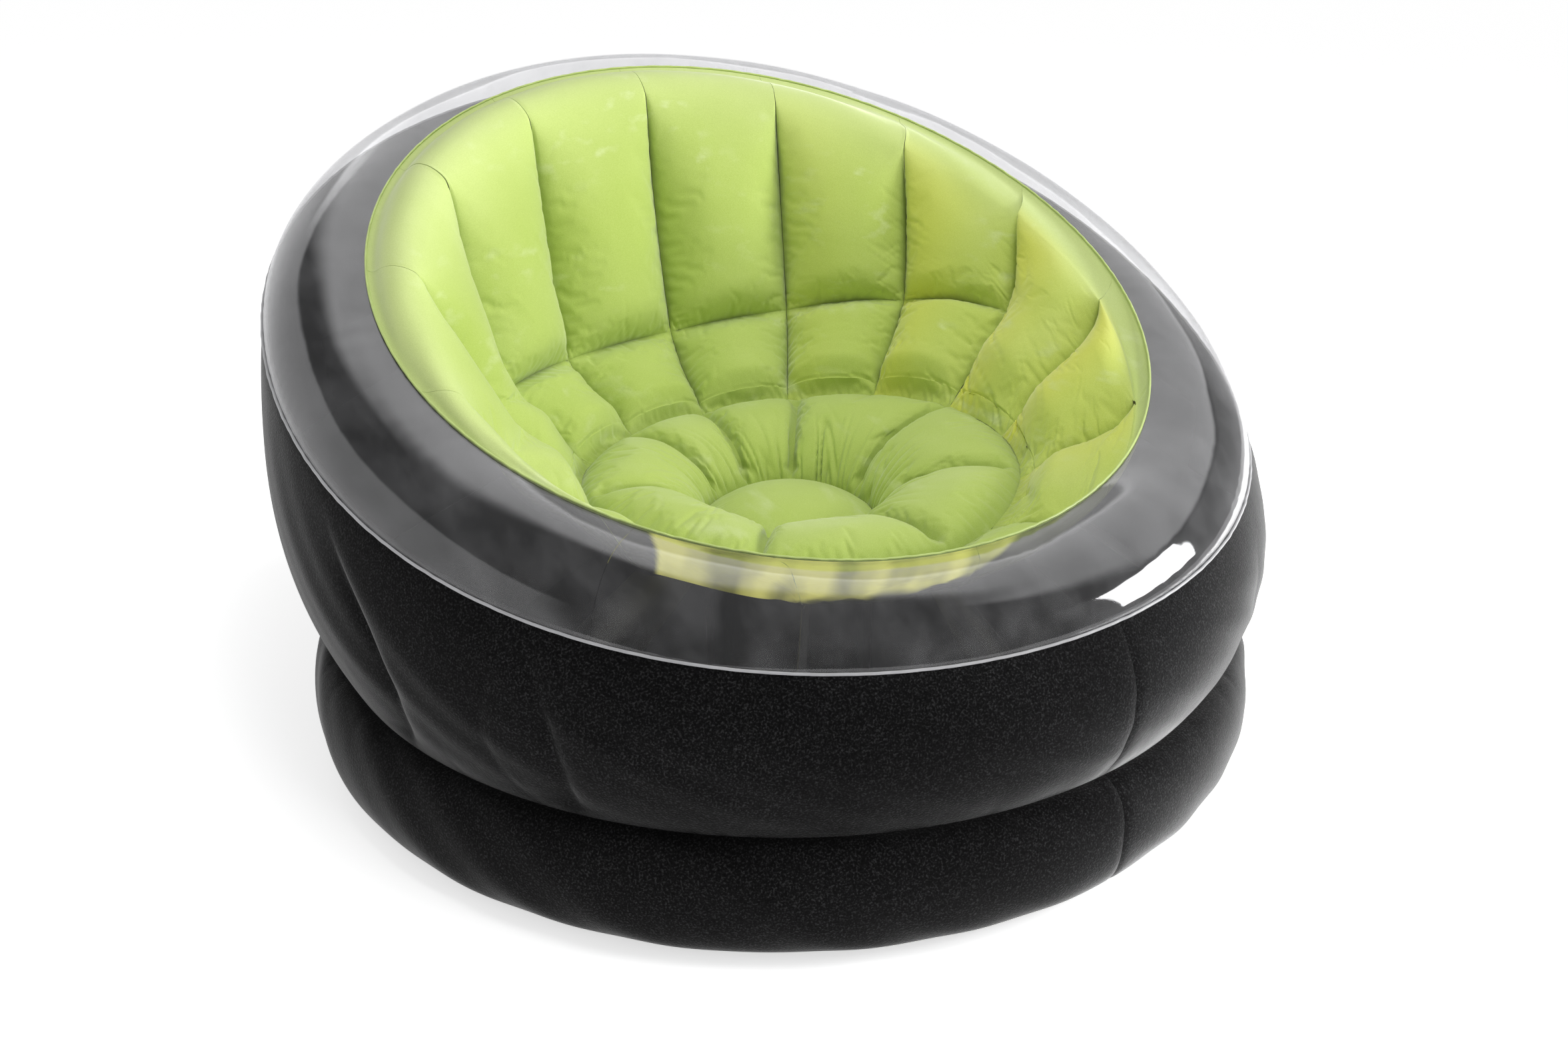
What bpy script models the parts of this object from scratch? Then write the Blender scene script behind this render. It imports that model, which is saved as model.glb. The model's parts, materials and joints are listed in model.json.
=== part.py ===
"""An inflatable tub chair: one air chamber of flocked and clear sheet, its inner webs and its air valve.

Metres, +Z up. The origin is the middle of the base, where it rests on the floor, and the chair faces -Y.
Every sheet follows one skin, which runs up the outside from the floor, over the rim and down to the button.
"""

import math

import bmesh
import bpy
from mathutils import Matrix, Vector

# Sheets and the gap left at each weld
FLOCKED_SHEET = 0.0012
CLEAR_SHEET = 0.0009
WEB_SHEET = 0.0008
GAP = 0.0003

# Base ring
BASE_RADIUS = 0.540
BASE_HEIGHT = 0.129
BASE_RISE = 0.008
FLOOR_INSET = 0.048
CREASE_INSET = 0.032
BASE_ROUNDNESS_SHARE = 0.8

# Outer weld line, where the dark wall meets the clear rim
WELD_HALF_WIDTH = 0.541
WELD_HALF_DEPTH = 0.544
WELD_CENTRE_Y = 0.047
WELD_HEIGHT = 0.443
WELD_RISE = 0.1875
WELD_SADDLE = -0.017
WELD_PEAR_SHARE = 0.010
WELD_SQUARE_SHARE = -0.010
WALL_BULGE = 0.029

# Clear rim, from the weld line over the top to the edge of the bowl
RIM_WIDTH = 0.112
RIM_BULGE = 0.0225
EDGE_SHIFT_Y = -0.002
EDGE_LIFT = 0.050
EDGE_RISE = 0.174
EDGE_SADDLE = -0.005

# Bowl: the smooth band under the edge, the upright channels, and the petals down to the seat
BAND_WIDTH = 0.024
BAND_DEPTH = 0.030
BAND_SHIFT_X = 0.007
BAND_SHIFT_Y = -0.027
BAND_DROP = 0.028
BAND_RISE = 0.163
BAND_SADDLE = -0.004
BAND_SWAY = -0.012
BAND_BULGE = 0.008
CHANNEL_RUN_SIDE = 0.045
CHANNEL_RUN_BACK = 0.047
SEAM_SHIFT_X = 0.005
SEAM_SHIFT_Y = -0.026
SEAM_HEIGHT = 0.325
SEAM_RISE = 0.048
SEAM_SADDLE = 0.026
SEAM_SWAY = 0.034
PETAL_RUN_SIDE = 0.114
PETAL_RUN_BACK = 0.095
FOOT_SHIFT_X = -0.003
FOOT_SHIFT_Y = -0.0195
FOOT_HEIGHT = 0.270
FOOT_RISE = -0.002
FOOT_SADDLE = 0.0105
FOOT_SWAY = 0.0155
CHANNEL_PUFF = 0.038
PETAL_PUFF = 0.033
LONG_PUFF = 0.042
PUFF_LIMIT_SHARE = 0.24
SEAM_PUFF_SHARE = 0.4
FOOT_PUFF_SHARE = 0.15
PUFF_ENTRY_SHARE = 0.3
PUFF_ROUNDNESS_SHARE = 0.75

# Seat: a ring of lobes round a domed button
BUTTON_RADIUS = 0.098
BUTTON_CENTRE_Y = -0.024
BUTTON_HEIGHT = 0.220
BUTTON_DOME = 0.022
LOBE_VALLEY = 0.033
LOBE_PUFF = 0.010

# Weld flanges that stand out of the skin
FLANGE_REACH = 0.0035
FLANGE_THICKNESS = 0.0014
EDGE_FLANGE_REACH = 0.0022

# Waist diaphragm and channel webs
DIAPHRAGM_WIDTH = 0.200
WEB_WALL_SHARES = (0.62, 0.06)

# Counts
CHANNELS = 14
FACETS_PER_CHANNEL = 4
LOBES = 8
BASE_ROW_COUNT = 6
WALL_ROW_COUNT = 6
RIM_ROW_COUNT = 5
BAND_ROW_COUNT = 2
CHANNEL_ROW_COUNT = 5
PETAL_ROW_COUNT = 4
SEAT_ROW_COUNT = 5
BUTTON_ROW_COUNT = 3
WEB_SKIPPED_ROW_COUNT = 1
TURNED_SIDES = 24
FACETS = CHANNELS * FACETS_PER_CHANNEL

# Places round the chair, counted in facets from the first channel weld, clockwise from above
FIRST_WELD_TURN = math.radians(3.6)
FIRST_SEAMED_CHANNEL = 12
SEAMED_CHANNELS = 5
WALL_SEAM_FACET = 26
RIM_SEAM_FACET = 34
LOBE_SEAM_FACET = 4
VALVE_FACET = 2
VALVE_WALL_SHARE = 0.27

# Air valve, outwards from the wall: a collar, a wide stopper, its small cap and its check flap
COLLAR_BORE = 0.0185
COLLAR_WALL = 0.0040
COLLAR_FLANGE = 0.0300
COLLAR_THICKNESS = 0.0030
COLLAR_DEPTH = 0.0100
COLLAR_EDGE = 0.0010
STOPPER_CLEARANCE = 0.0009
STOPPER_TAPER = 0.0010
STOPPER_FLANGE = 0.0215
STOPPER_TOP = 0.0030
STOPPER_LIP = 0.0020
STOPPER_DEPTH = 0.0074
STOPPER_WALL = 0.0016
CAP_BORE = 0.0062
CAP_CLEARANCE = 0.0007
CAP_TAPER = 0.0005
CAP_RADIUS = 0.0095
CAP_THICKNESS = 0.0016
CAP_DEPTH = 0.0027
STRAP_WIDTH = 0.0080
STRAP_THICKNESS = 0.0014
CAP_STRAP_WIDTH = 0.0050
CAP_STRAP_THICKNESS = 0.0012
STOPPER_HINGE = 0.0290
CAP_HINGE = 0.0185
CAP_TAB = 0.0050
FLAP_RADIUS = 0.0085
FLAP_THICKNESS = 0.0010

# Finishes: colour, roughness, metallic, transmission
DARK_FLOCK = ((0.012, 0.012, 0.013), 0.95, 0.0, 0.0)
GREEN_FLOCK = ((0.42, 0.56, 0.13), 0.90, 0.0, 0.0)
CLEAR_FILM = ((0.45, 0.45, 0.46), 0.08, 0.0, 0.8)
WELDED_EDGE = ((0.40, 0.40, 0.42), 0.25, 0.0, 0.3)
GREEN_EDGE = ((0.50, 0.66, 0.10), 0.35, 0.0, 0.0)
INNER_WEB = ((0.030, 0.030, 0.032), 0.50, 0.0, 0.0)
VALVE_PLASTIC = ((0.05, 0.05, 0.055), 0.40, 0.0, 0.0)
CAP_PLASTIC = ((0.06, 0.06, 0.065), 0.35, 0.0, 0.0)
FLAP_RUBBER = ((0.35, 0.35, 0.34), 0.60, 0.0, 0.0)

UP = Vector((0.0, 0.0, 1.0))
DOWN = -UP
CHANNEL_PITCH = math.tau / CHANNELS
FACET_PITCH = math.tau / FACETS
BACK = math.pi / 2


def clear_scene():
    for old in list(bpy.data.objects):
        bpy.data.objects.remove(old, do_unlink=True)


def outward(angle):
    return Vector((math.cos(angle), math.sin(angle), 0.0))


def along(angle):
    return Vector((-math.sin(angle), math.cos(angle), 0.0))


def facet_angle(facet):
    return BACK + FIRST_WELD_TURN - facet * FACET_PITCH


def is_seamed(channel):
    """Whether this channel, counted from 0, ends at the cross seam with a petal below it."""
    return (channel - FIRST_SEAMED_CHANNEL) % CHANNELS < SEAMED_CHANNELS


class Ring:
    """A weld line right round the chair: nearly an ellipse in plan, rising towards the back and swaying to one side."""

    def __init__(self, half_width, half_depth, centre_y, height, rise=0.0, saddle=0.0, pear_share=0.0,
                 square_share=0.0, centre_x=0.0, sway=0.0):
        self.centre_x = centre_x
        self.sway = sway
        self.half_width = half_width
        self.half_depth = half_depth
        self.centre_y = centre_y
        self.height = height
        self.rise = rise
        self.saddle = saddle
        self.pear_share = pear_share
        self.square_share = square_share

    def at(self, angle):
        swell = 1 + self.pear_share * math.sin(3 * angle) + self.square_share * math.cos(4 * angle)
        return Vector((
            self.centre_x + self.half_width * math.cos(angle) * swell,
            self.centre_y + self.half_depth * math.sin(angle) * swell,
            self.height + self.rise * math.sin(angle) + self.sway * math.cos(angle) + self.saddle * math.cos(2 * angle),
        ))


CREASE = Ring(BASE_RADIUS - CREASE_INSET, BASE_RADIUS - CREASE_INSET, 0.0, BASE_HEIGHT, BASE_RISE)
WELD = Ring(WELD_HALF_WIDTH, WELD_HALF_DEPTH, WELD_CENTRE_Y, WELD_HEIGHT, WELD_RISE, WELD_SADDLE,
            WELD_PEAR_SHARE, WELD_SQUARE_SHARE)
EDGE = Ring(WELD.half_width - RIM_WIDTH, WELD.half_depth - RIM_WIDTH, WELD.centre_y + EDGE_SHIFT_Y,
            WELD.height + EDGE_LIFT, EDGE_RISE, EDGE_SADDLE)
BAND = Ring(EDGE.half_width - BAND_WIDTH, EDGE.half_depth - BAND_DEPTH, EDGE.centre_y + BAND_SHIFT_Y,
            EDGE.height - BAND_DROP, BAND_RISE, BAND_SADDLE, centre_x=BAND_SHIFT_X, sway=BAND_SWAY)
SEAM = Ring(BAND.half_width - CHANNEL_RUN_SIDE, BAND.half_depth - CHANNEL_RUN_BACK, BAND.centre_y + SEAM_SHIFT_Y,
            SEAM_HEIGHT, SEAM_RISE, SEAM_SADDLE, centre_x=BAND.centre_x + SEAM_SHIFT_X, sway=SEAM_SWAY)
FOOT = Ring(SEAM.half_width - PETAL_RUN_SIDE, SEAM.half_depth - PETAL_RUN_BACK, SEAM.centre_y + FOOT_SHIFT_Y,
            FOOT_HEIGHT, FOOT_RISE, FOOT_SADDLE, centre_x=SEAM.centre_x + FOOT_SHIFT_X, sway=FOOT_SWAY)
BUTTON = Ring(BUTTON_RADIUS, BUTTON_RADIUS, BUTTON_CENTRE_Y, BUTTON_HEIGHT)


def bowed(start, end, bulge, angle, rows):
    """Points from start to end, bowed out to the sheet's outer side by bulge at the middle."""
    chord = end - start
    side = (outward(angle) * chord.z - UP * chord.dot(outward(angle))).normalized()
    shares = [row / rows for row in range(rows + 1)]
    return [start + chord * share + side * bulge * 4 * share * (1 - share) for share in shares]


def base_points(angle):
    """Points up the base ring: flat on the floor, round at the side, in to the crease."""
    points = []
    for row in range(BASE_ROW_COUNT + 1):
        turn = math.pi * row / BASE_ROW_COUNT
        inset = FLOOR_INSET + (CREASE_INSET - FLOOR_INSET) * row / BASE_ROW_COUNT
        reach = BASE_RADIUS - inset * (1 - math.sin(turn) ** BASE_ROUNDNESS_SHARE)
        points.append(outward(angle) * reach + UP * CREASE.at(angle).z * (1 - math.cos(turn)) / 2)
    return points


def across(facets, count, first=0):
    """How full a puff is at this place between its two weld lines, from 0 at a weld to 1 at its crown."""
    place = ((facets - first) * count / FACETS) % 1.0
    return (4 * place * (1 - place)) ** PUFF_ROUNDNESS_SHARE


def swelling(share, start_share, end_share):
    """How full a puff is at this share of its length, which it enters and leaves only partly full."""
    if share < PUFF_ENTRY_SHARE:
        return start_share + (1 - start_share) * math.sin(math.pi / 2 * share / PUFF_ENTRY_SHARE)
    if share > 1 - PUFF_ENTRY_SHARE:
        return end_share + (1 - end_share) * math.sin(math.pi / 2 * (1 - share) / PUFF_ENTRY_SHARE)
    return 1.0


def facing(points, angle, first=None, last=None):
    """The outer side's direction at each point, from its neighbours along the skin."""
    found = []
    for place in range(len(points)):
        step = points[min(place + 1, len(points) - 1)] - points[max(place - 1, 0)]
        found.append((outward(angle) * step.z - UP * step.dot(outward(angle))).normalized())
    found[0] = first or found[0]
    found[-1] = last or found[-1]
    return found


def trimmed(stations):
    """The same run, half a gap short at both ends."""
    short = [list(station) for station in stations]
    for end, neighbour in ((0, 1), (-1, -2)):
        step = stations[neighbour][0] - stations[end][0]
        short[end][0] = stations[end][0] + step.normalized() * GAP / 2
    return short


def puffed(points, normals, shares, puff, fullness, start_share, end_share):
    """Points raised along their normals into a puff no fuller than its length allows."""
    length = (points[-1] - points[0]).length
    height = min(puff, length * PUFF_LIMIT_SHARE) * fullness
    return [point + normal * height * swelling(share, start_share, end_share)
            for point, normal, share in zip(points, normals, shares)]


def skin(facet):
    """Runs of (point, outer direction) along the skin at one place round the chair, each ending at a weld."""
    angle = facet_angle(facet)
    crease, weld, edge, band = (ring.at(angle) for ring in (CREASE, WELD, EDGE, BAND))
    seam, foot, button = (ring.at(angle) for ring in (SEAM, FOOT, BUTTON))
    runs = {
        "wall": bowed(crease, weld, WALL_BULGE, angle, WALL_ROW_COUNT),
        "rim": bowed(weld, edge, RIM_BULGE, angle, RIM_ROW_COUNT),
        "band": bowed(edge, band, BAND_BULGE, angle, BAND_ROW_COUNT),
        "channel": bowed(band, seam, 0.0, angle, CHANNEL_ROW_COUNT),
        "petal": bowed(seam, foot, 0.0, angle, PETAL_ROW_COUNT),
    }
    whole = runs["wall"][:1]
    for run in runs.values():
        whole += run[1:]
    normals = facing(whole, angle, outward(angle), UP)
    found = {}
    start = 0
    for name, run in runs.items():
        found[name] = list(zip(run, normals[start:start + len(run)]))
        start += len(run) - 1
    found["long"] = found["channel"][:-1] + found["petal"]
    fullness = across(facet, CHANNELS)
    for name, puff, start_share, end_share in (("long", LONG_PUFF, 0.0, FOOT_PUFF_SHARE),
                                               ("channel", CHANNEL_PUFF, 0.0, SEAM_PUFF_SHARE),
                                               ("petal", PETAL_PUFF, SEAM_PUFF_SHARE, FOOT_PUFF_SHARE)):
        points, sides = zip(*found[name])
        shares = [place / (len(points) - 1) for place in range(len(points))]
        found[name] = list(zip(puffed(points, sides, shares, puff, fullness, start_share, end_share), sides))
    if fullness:
        join_puffs(found)
    found["gore"] = found["band"][:-1] + found["channel"]
    found["whole_gore"] = found["band"][:-1] + found["long"]
    base = base_points(angle)
    found["base"] = list(zip(base, facing(base, angle, DOWN, outward(angle))))
    lobe = LOBE_VALLEY + LOBE_PUFF * across(facet, LOBES, LOBE_SEAM_FACET)
    seat = bowed(foot, button, lobe, angle, SEAT_ROW_COUNT)
    seamed = is_seamed(facet % FACETS // FACETS_PER_CHANNEL)
    seat[0] = found["petal" if seamed else "long"][-1][0].copy()
    found["seat"] = list(zip(seat, facing(seat, angle, UP, UP)))
    return found


def join_puffs(found):
    """Gives the channel and the petal one shared end at the seam, since their puffs are limited apart."""
    upper = found["channel"][-1]
    lower = found["petal"][0]
    middle = (upper[0] + lower[0]) / 2
    found["channel"][-1] = (middle, upper[1])
    found["petal"][0] = (middle, lower[1])


def new_object(name, mesh, finish):
    """An object with its own material, shaded smooth except at its sharp edges."""
    mesh.shade_smooth()
    mesh.set_sharp_from_angle(angle=math.radians(50))
    made = bpy.data.objects.new(name, mesh)
    bpy.context.scene.collection.objects.link(made)
    colour, roughness, metallic, transmission = finish
    material = bpy.data.materials.new(name + "_finish")
    material.use_nodes = True
    shader = material.node_tree.nodes["Principled BSDF"]
    shader.inputs["Base Color"].default_value = (*colour, 1.0)
    shader.inputs["Roughness"].default_value = roughness
    shader.inputs["Metallic"].default_value = metallic
    shader.inputs["Transmission Weight"].default_value = transmission
    made.data.materials.append(material)
    return made


def mesh_from(name, points, faces):
    """A closed mesh whose faces point out."""
    mesh = bpy.data.meshes.new(name)
    mesh.from_pydata([tuple(point) for point in points], [], faces)
    shape = bmesh.new()
    shape.from_mesh(mesh)
    bmesh.ops.recalc_face_normals(shape, faces=shape.faces)
    shape.to_mesh(mesh)
    shape.free()
    return mesh


def sheet(name, columns, thickness, finish, closed=False):
    """A sheet whose outer face is on the columns' points, as a panel or as a closed hoop.

    Both faces are split along the same diagonals, so the sheet keeps its thickness where it twists.
    """
    rows = len(columns[0])
    count = len(columns)
    faces_out = [point for column in columns for point, _ in column]
    faces_in = [point - normal * thickness for column in columns for point, normal in column]
    points = faces_out + faces_in
    back = len(faces_out)

    def vertex(column, row, side):
        return (column % count) * rows + row + side * back

    faces = []
    for column in range(count if closed else count - 1):
        for row in range(rows - 1):
            outer = [vertex(column, row, 0), vertex(column + 1, row, 0),
                     vertex(column + 1, row + 1, 0), vertex(column, row + 1, 0)]
            spans = [(points[outer[turn + 2]] - points[outer[turn]]).length for turn in (0, 1)]
            turn = spans.index(min(spans))
            for places in ((turn, turn + 1, turn + 2), (turn + 2, (turn + 3) % 4, turn)):
                corners = [outer[place] for place in places]
                faces.append(corners)
                faces.append([corner + back for corner in corners[::-1]])
        for row in (0, rows - 1):
            faces.append([vertex(column, row, 0), vertex(column + 1, row, 0),
                          vertex(column + 1, row, 1), vertex(column, row, 1)])
    if not closed:
        for column in (0, count - 1):
            for row in range(rows - 1):
                faces.append([vertex(column, row, 0), vertex(column, row + 1, 0),
                              vertex(column, row + 1, 1), vertex(column, row, 1)])
    return new_object(name, mesh_from(name, points, faces), finish)


def panel(name, run, first, last, thickness, finish):
    """A panel of the skin between two facets, half a gap short of the panels on both sides."""
    columns = []
    for facet in range(first, last + 1):
        stations = trimmed(skin(facet)[run])
        shift = along(facet_angle(facet)) * GAP / 2 * ((facet == last) - (facet == first))
        columns.append([(point + shift, normal) for point, normal in stations])
    return sheet(name, columns[::-1], thickness, finish)


def hoop(name, run, place, reach, finish):
    """A weld flange that stands out of the skin, right round the chair."""
    columns = []
    for facet in range(FACETS, 0, -1):
        stations = skin(facet)[run]
        point, normal = stations[place]
        step = (stations[1][0] - stations[0][0]) if place == 0 else (stations[-1][0] - stations[-2][0])
        half = step.normalized() * FLANGE_THICKNESS / 2
        outer = point + normal * (GAP + reach)
        columns.append([(outer - half, normal), (outer + half, normal)])
    return sheet(name, columns, reach, finish, closed=True)


def disc(name, edge, middle, thickness, finish):
    """A round sheet from rings of points and a middle point, thickening along thickness."""
    count = len(edge[0])
    points = [point for ring in edge for point in ring] + [middle]
    back = len(points)
    points = points + [point + thickness for point in points]
    faces = []
    for side in (0, back):
        for ring in range(len(edge) - 1):
            for place in range(count):
                after = (place + 1) % count
                faces.append([side + ring * count + place, side + ring * count + after,
                              side + (ring + 1) * count + after, side + (ring + 1) * count + place])
        for place in range(count):
            last = (len(edge) - 1) * count
            faces.append([side + last + place, side + last + (place + 1) % count, side + back - 1])
    for place in range(count):
        after = (place + 1) % count
        faces.append([place, after, back + after, back + place])
    return new_object(name, mesh_from(name, points, faces), finish)


def circle(radius, height, centre_y, sides):
    return [outward(facet_angle(0) - side * math.tau / sides) * radius + Vector((0.0, centre_y, height))
            for side in range(sides)]


def make_base():
    make_floor = circle(BASE_RADIUS - FLOOR_INSET - GAP / 2, 0.0, 0.0, FACETS)
    disc("floor_panel", [make_floor], Vector(), UP * FLOCKED_SHEET, DARK_FLOCK)
    opposite = WALL_SEAM_FACET - FACETS // 2
    for side, first, last in (("right", opposite, WALL_SEAM_FACET), ("left", WALL_SEAM_FACET, opposite + FACETS)):
        panel("base_wall_" + side, "base", first, last, FLOCKED_SHEET, DARK_FLOCK)
    columns = []
    for facet in range(FACETS, 0, -1):
        angle = facet_angle(facet)
        outer = CREASE.at(angle) - outward(angle) * (FLOCKED_SHEET + GAP) + UP * WEB_SHEET / 2
        columns.append([(outer, UP), (outer - outward(angle) * DIAPHRAGM_WIDTH, UP)])
    sheet("waist_diaphragm", columns, WEB_SHEET, INNER_WEB, closed=True)


def make_outside():
    opposite = WALL_SEAM_FACET - FACETS // 2
    right = panel("outer_wall_right", "wall", opposite, WALL_SEAM_FACET, FLOCKED_SHEET, DARK_FLOCK)
    panel("outer_wall_left", "wall", WALL_SEAM_FACET, opposite + FACETS, FLOCKED_SHEET, DARK_FLOCK)
    opposite = RIM_SEAM_FACET - FACETS // 2
    panel("rim_band_right", "rim", opposite, RIM_SEAM_FACET, CLEAR_SHEET, CLEAR_FILM)
    panel("rim_band_left", "rim", RIM_SEAM_FACET, opposite + FACETS, CLEAR_SHEET, CLEAR_FILM)
    hoop("rim_weld_flange", "rim", 0, FLANGE_REACH, WELDED_EDGE)
    hoop("bowl_edge_flange", "rim", -1, EDGE_FLANGE_REACH, GREEN_EDGE)
    return right


def make_bowl():
    for channel in range(CHANNELS):
        first = channel * FACETS_PER_CHANNEL
        last = first + FACETS_PER_CHANNEL
        number = f"{channel + 1:02d}"
        if is_seamed(channel):
            panel("bowl_channel_" + number, "gore", first, last, FLOCKED_SHEET, GREEN_FLOCK)
            panel("bowl_petal_" + number, "petal", first, last, FLOCKED_SHEET, GREEN_FLOCK)
        else:
            panel("bowl_channel_" + number, "whole_gore", first, last, FLOCKED_SHEET, GREEN_FLOCK)
        make_web("channel_web_" + number, first)


def make_web(name, facet):
    """A web behind a weld line of the bowl, down to the lower half of the wall, with air free above and below it."""
    stations = skin(facet)
    angle = facet_angle(facet)
    valley = (stations["channel"] + stations["petal"][1:])[WEB_SKIPPED_ROW_COUNT:]
    behind = FLOCKED_SHEET + GAP
    top, low = WEB_WALL_SHARES
    columns = [[], [], []]
    for row, (point, normal) in enumerate(valley):
        inner = point - normal * behind
        outer = between(stations["wall"], top + (low - top) * row / (len(valley) - 1), behind)
        for place, column in enumerate(columns):
            middle = inner.lerp(outer, place / (len(columns) - 1))
            column.append((middle + along(angle) * WEB_SHEET / 2, along(angle)))
    sheet(name, columns, WEB_SHEET, INNER_WEB)


def between(stations, share, behind):
    """A point at this share of the stations, this far behind the sheet's outer face."""
    place = min(share * (len(stations) - 1), len(stations) - 1.000001)
    first = int(place)
    point = stations[first][0].lerp(stations[first + 1][0], place - first)
    normal = stations[first][1].lerp(stations[first + 1][1], place - first)
    return point - normal.normalized() * behind


def make_seat():
    columns = [trimmed(skin(facet)["seat"]) for facet in range(FACETS, 0, -1)]
    sheet("seat_ring", columns, FLOCKED_SHEET, GREEN_FLOCK, closed=True)
    sides = FACETS // 2
    rings = []
    for row in range(BUTTON_ROW_COUNT):
        share = 1 - row / BUTTON_ROW_COUNT
        radius = (BUTTON_RADIUS - GAP / 2) * share
        rings.append(circle(radius, BUTTON_HEIGHT + BUTTON_DOME * (1 - share ** 2), BUTTON.centre_y, sides))
    top = Vector((0.0, BUTTON.centre_y, BUTTON_HEIGHT + BUTTON_DOME))
    disc("seat_button", rings, top, DOWN * FLOCKED_SHEET, GREEN_FLOCK)
    columns = []
    low = FLOCKED_SHEET + GAP
    high = BUTTON_HEIGHT - FLOCKED_SHEET - GAP
    for facet in range(FACETS, 0, -2):
        angle = facet_angle(facet)
        reach = outward(angle) * (BUTTON_RADIUS + WEB_SHEET / 2) + Vector((0.0, BUTTON.centre_y, 0.0))
        columns.append([(reach + UP * low, outward(angle)), (reach + UP * high, outward(angle))])
    sheet("seat_tie_column", columns, WEB_SHEET, INNER_WEB, closed=True)


def turned(name, outline, sides, finish):
    """A piece turned about +Z from an outline of (radius, height) that runs right round its section."""
    points = []
    rings = []
    for radius, height in outline:
        if radius == 0:
            rings.append([len(points)] * sides)
            points.append(Vector((0.0, 0.0, height)))
            continue
        rings.append(list(range(len(points), len(points) + sides)))
        points += circle(radius, height, 0.0, sides)
    faces = []
    for place in range(len(rings)):
        ring = rings[place]
        after = rings[(place + 1) % len(rings)]
        for side in range(sides):
            corners = [ring[side], ring[(side + 1) % sides], after[(side + 1) % sides], after[side]]
            distinct = list(dict.fromkeys(corners))
            if len(distinct) > 2:
                faces.append(distinct)
    return new_object(name, mesh_from(name, points, faces), finish)


def strap(name, start_y, end_y, low, thickness, width, finish):
    """A flat strap along Y whose end is round about its hinge line at end_y."""
    middle = low + thickness / 2
    heading = math.copysign(1.0, end_y - start_y)
    outline = [(start_y, low), (end_y, low)]
    steps = 4
    for step in range(1, steps):
        turn = math.pi * step / steps
        outline.append((end_y + heading * thickness / 2 * math.sin(turn), middle - thickness / 2 * math.cos(turn)))
    outline += [(end_y, low + thickness), (start_y, low + thickness)]
    count = len(outline)
    points = [Vector((side * width / 2, y, z)) for side in (-1, 1) for y, z in outline]
    faces = [list(range(count)), list(range(2 * count - 1, count - 1, -1))]
    faces += [[place, (place + 1) % count, count + (place + 1) % count, count + place] for place in range(count)]
    made = new_object(name, mesh_from(name, points, faces), finish)
    made.hide_render = True
    made.display_type = "WIRE"
    return made


def add_boolean(target, tool, operation):
    modifier = target.modifiers.new(operation.lower() + "_" + tool.name, "BOOLEAN")
    modifier.object = tool
    modifier.operation = operation
    modifier.solver = "EXACT"


def move_origin(made, pivot):
    made.data.transform(Matrix.Translation(-pivot))
    made.matrix_world = Matrix.Translation(pivot)


def valve_frame():
    """The valve's own frame: its +Z out of the wall, its +Y up the wall, its origin on the wall's outer face."""
    stations = skin(VALVE_FACET)["wall"]
    point = between(stations, VALVE_WALL_SHARE, 0.0)
    low = between(stations, VALVE_WALL_SHARE - 1 / WALL_ROW_COUNT, 0.0)
    high = between(stations, VALVE_WALL_SHARE + 1 / WALL_ROW_COUNT, 0.0)
    side = between(skin(VALVE_FACET - 1)["wall"], VALVE_WALL_SHARE, 0.0)
    other = between(skin(VALVE_FACET + 1)["wall"], VALVE_WALL_SHARE, 0.0)
    across_wall = (side - other).normalized()
    out = across_wall.cross(high - low).normalized()
    up_wall = out.cross(across_wall)
    frame = Matrix((across_wall, up_wall, out)).transposed().to_4x4()
    frame.translation = point
    return frame


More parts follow.
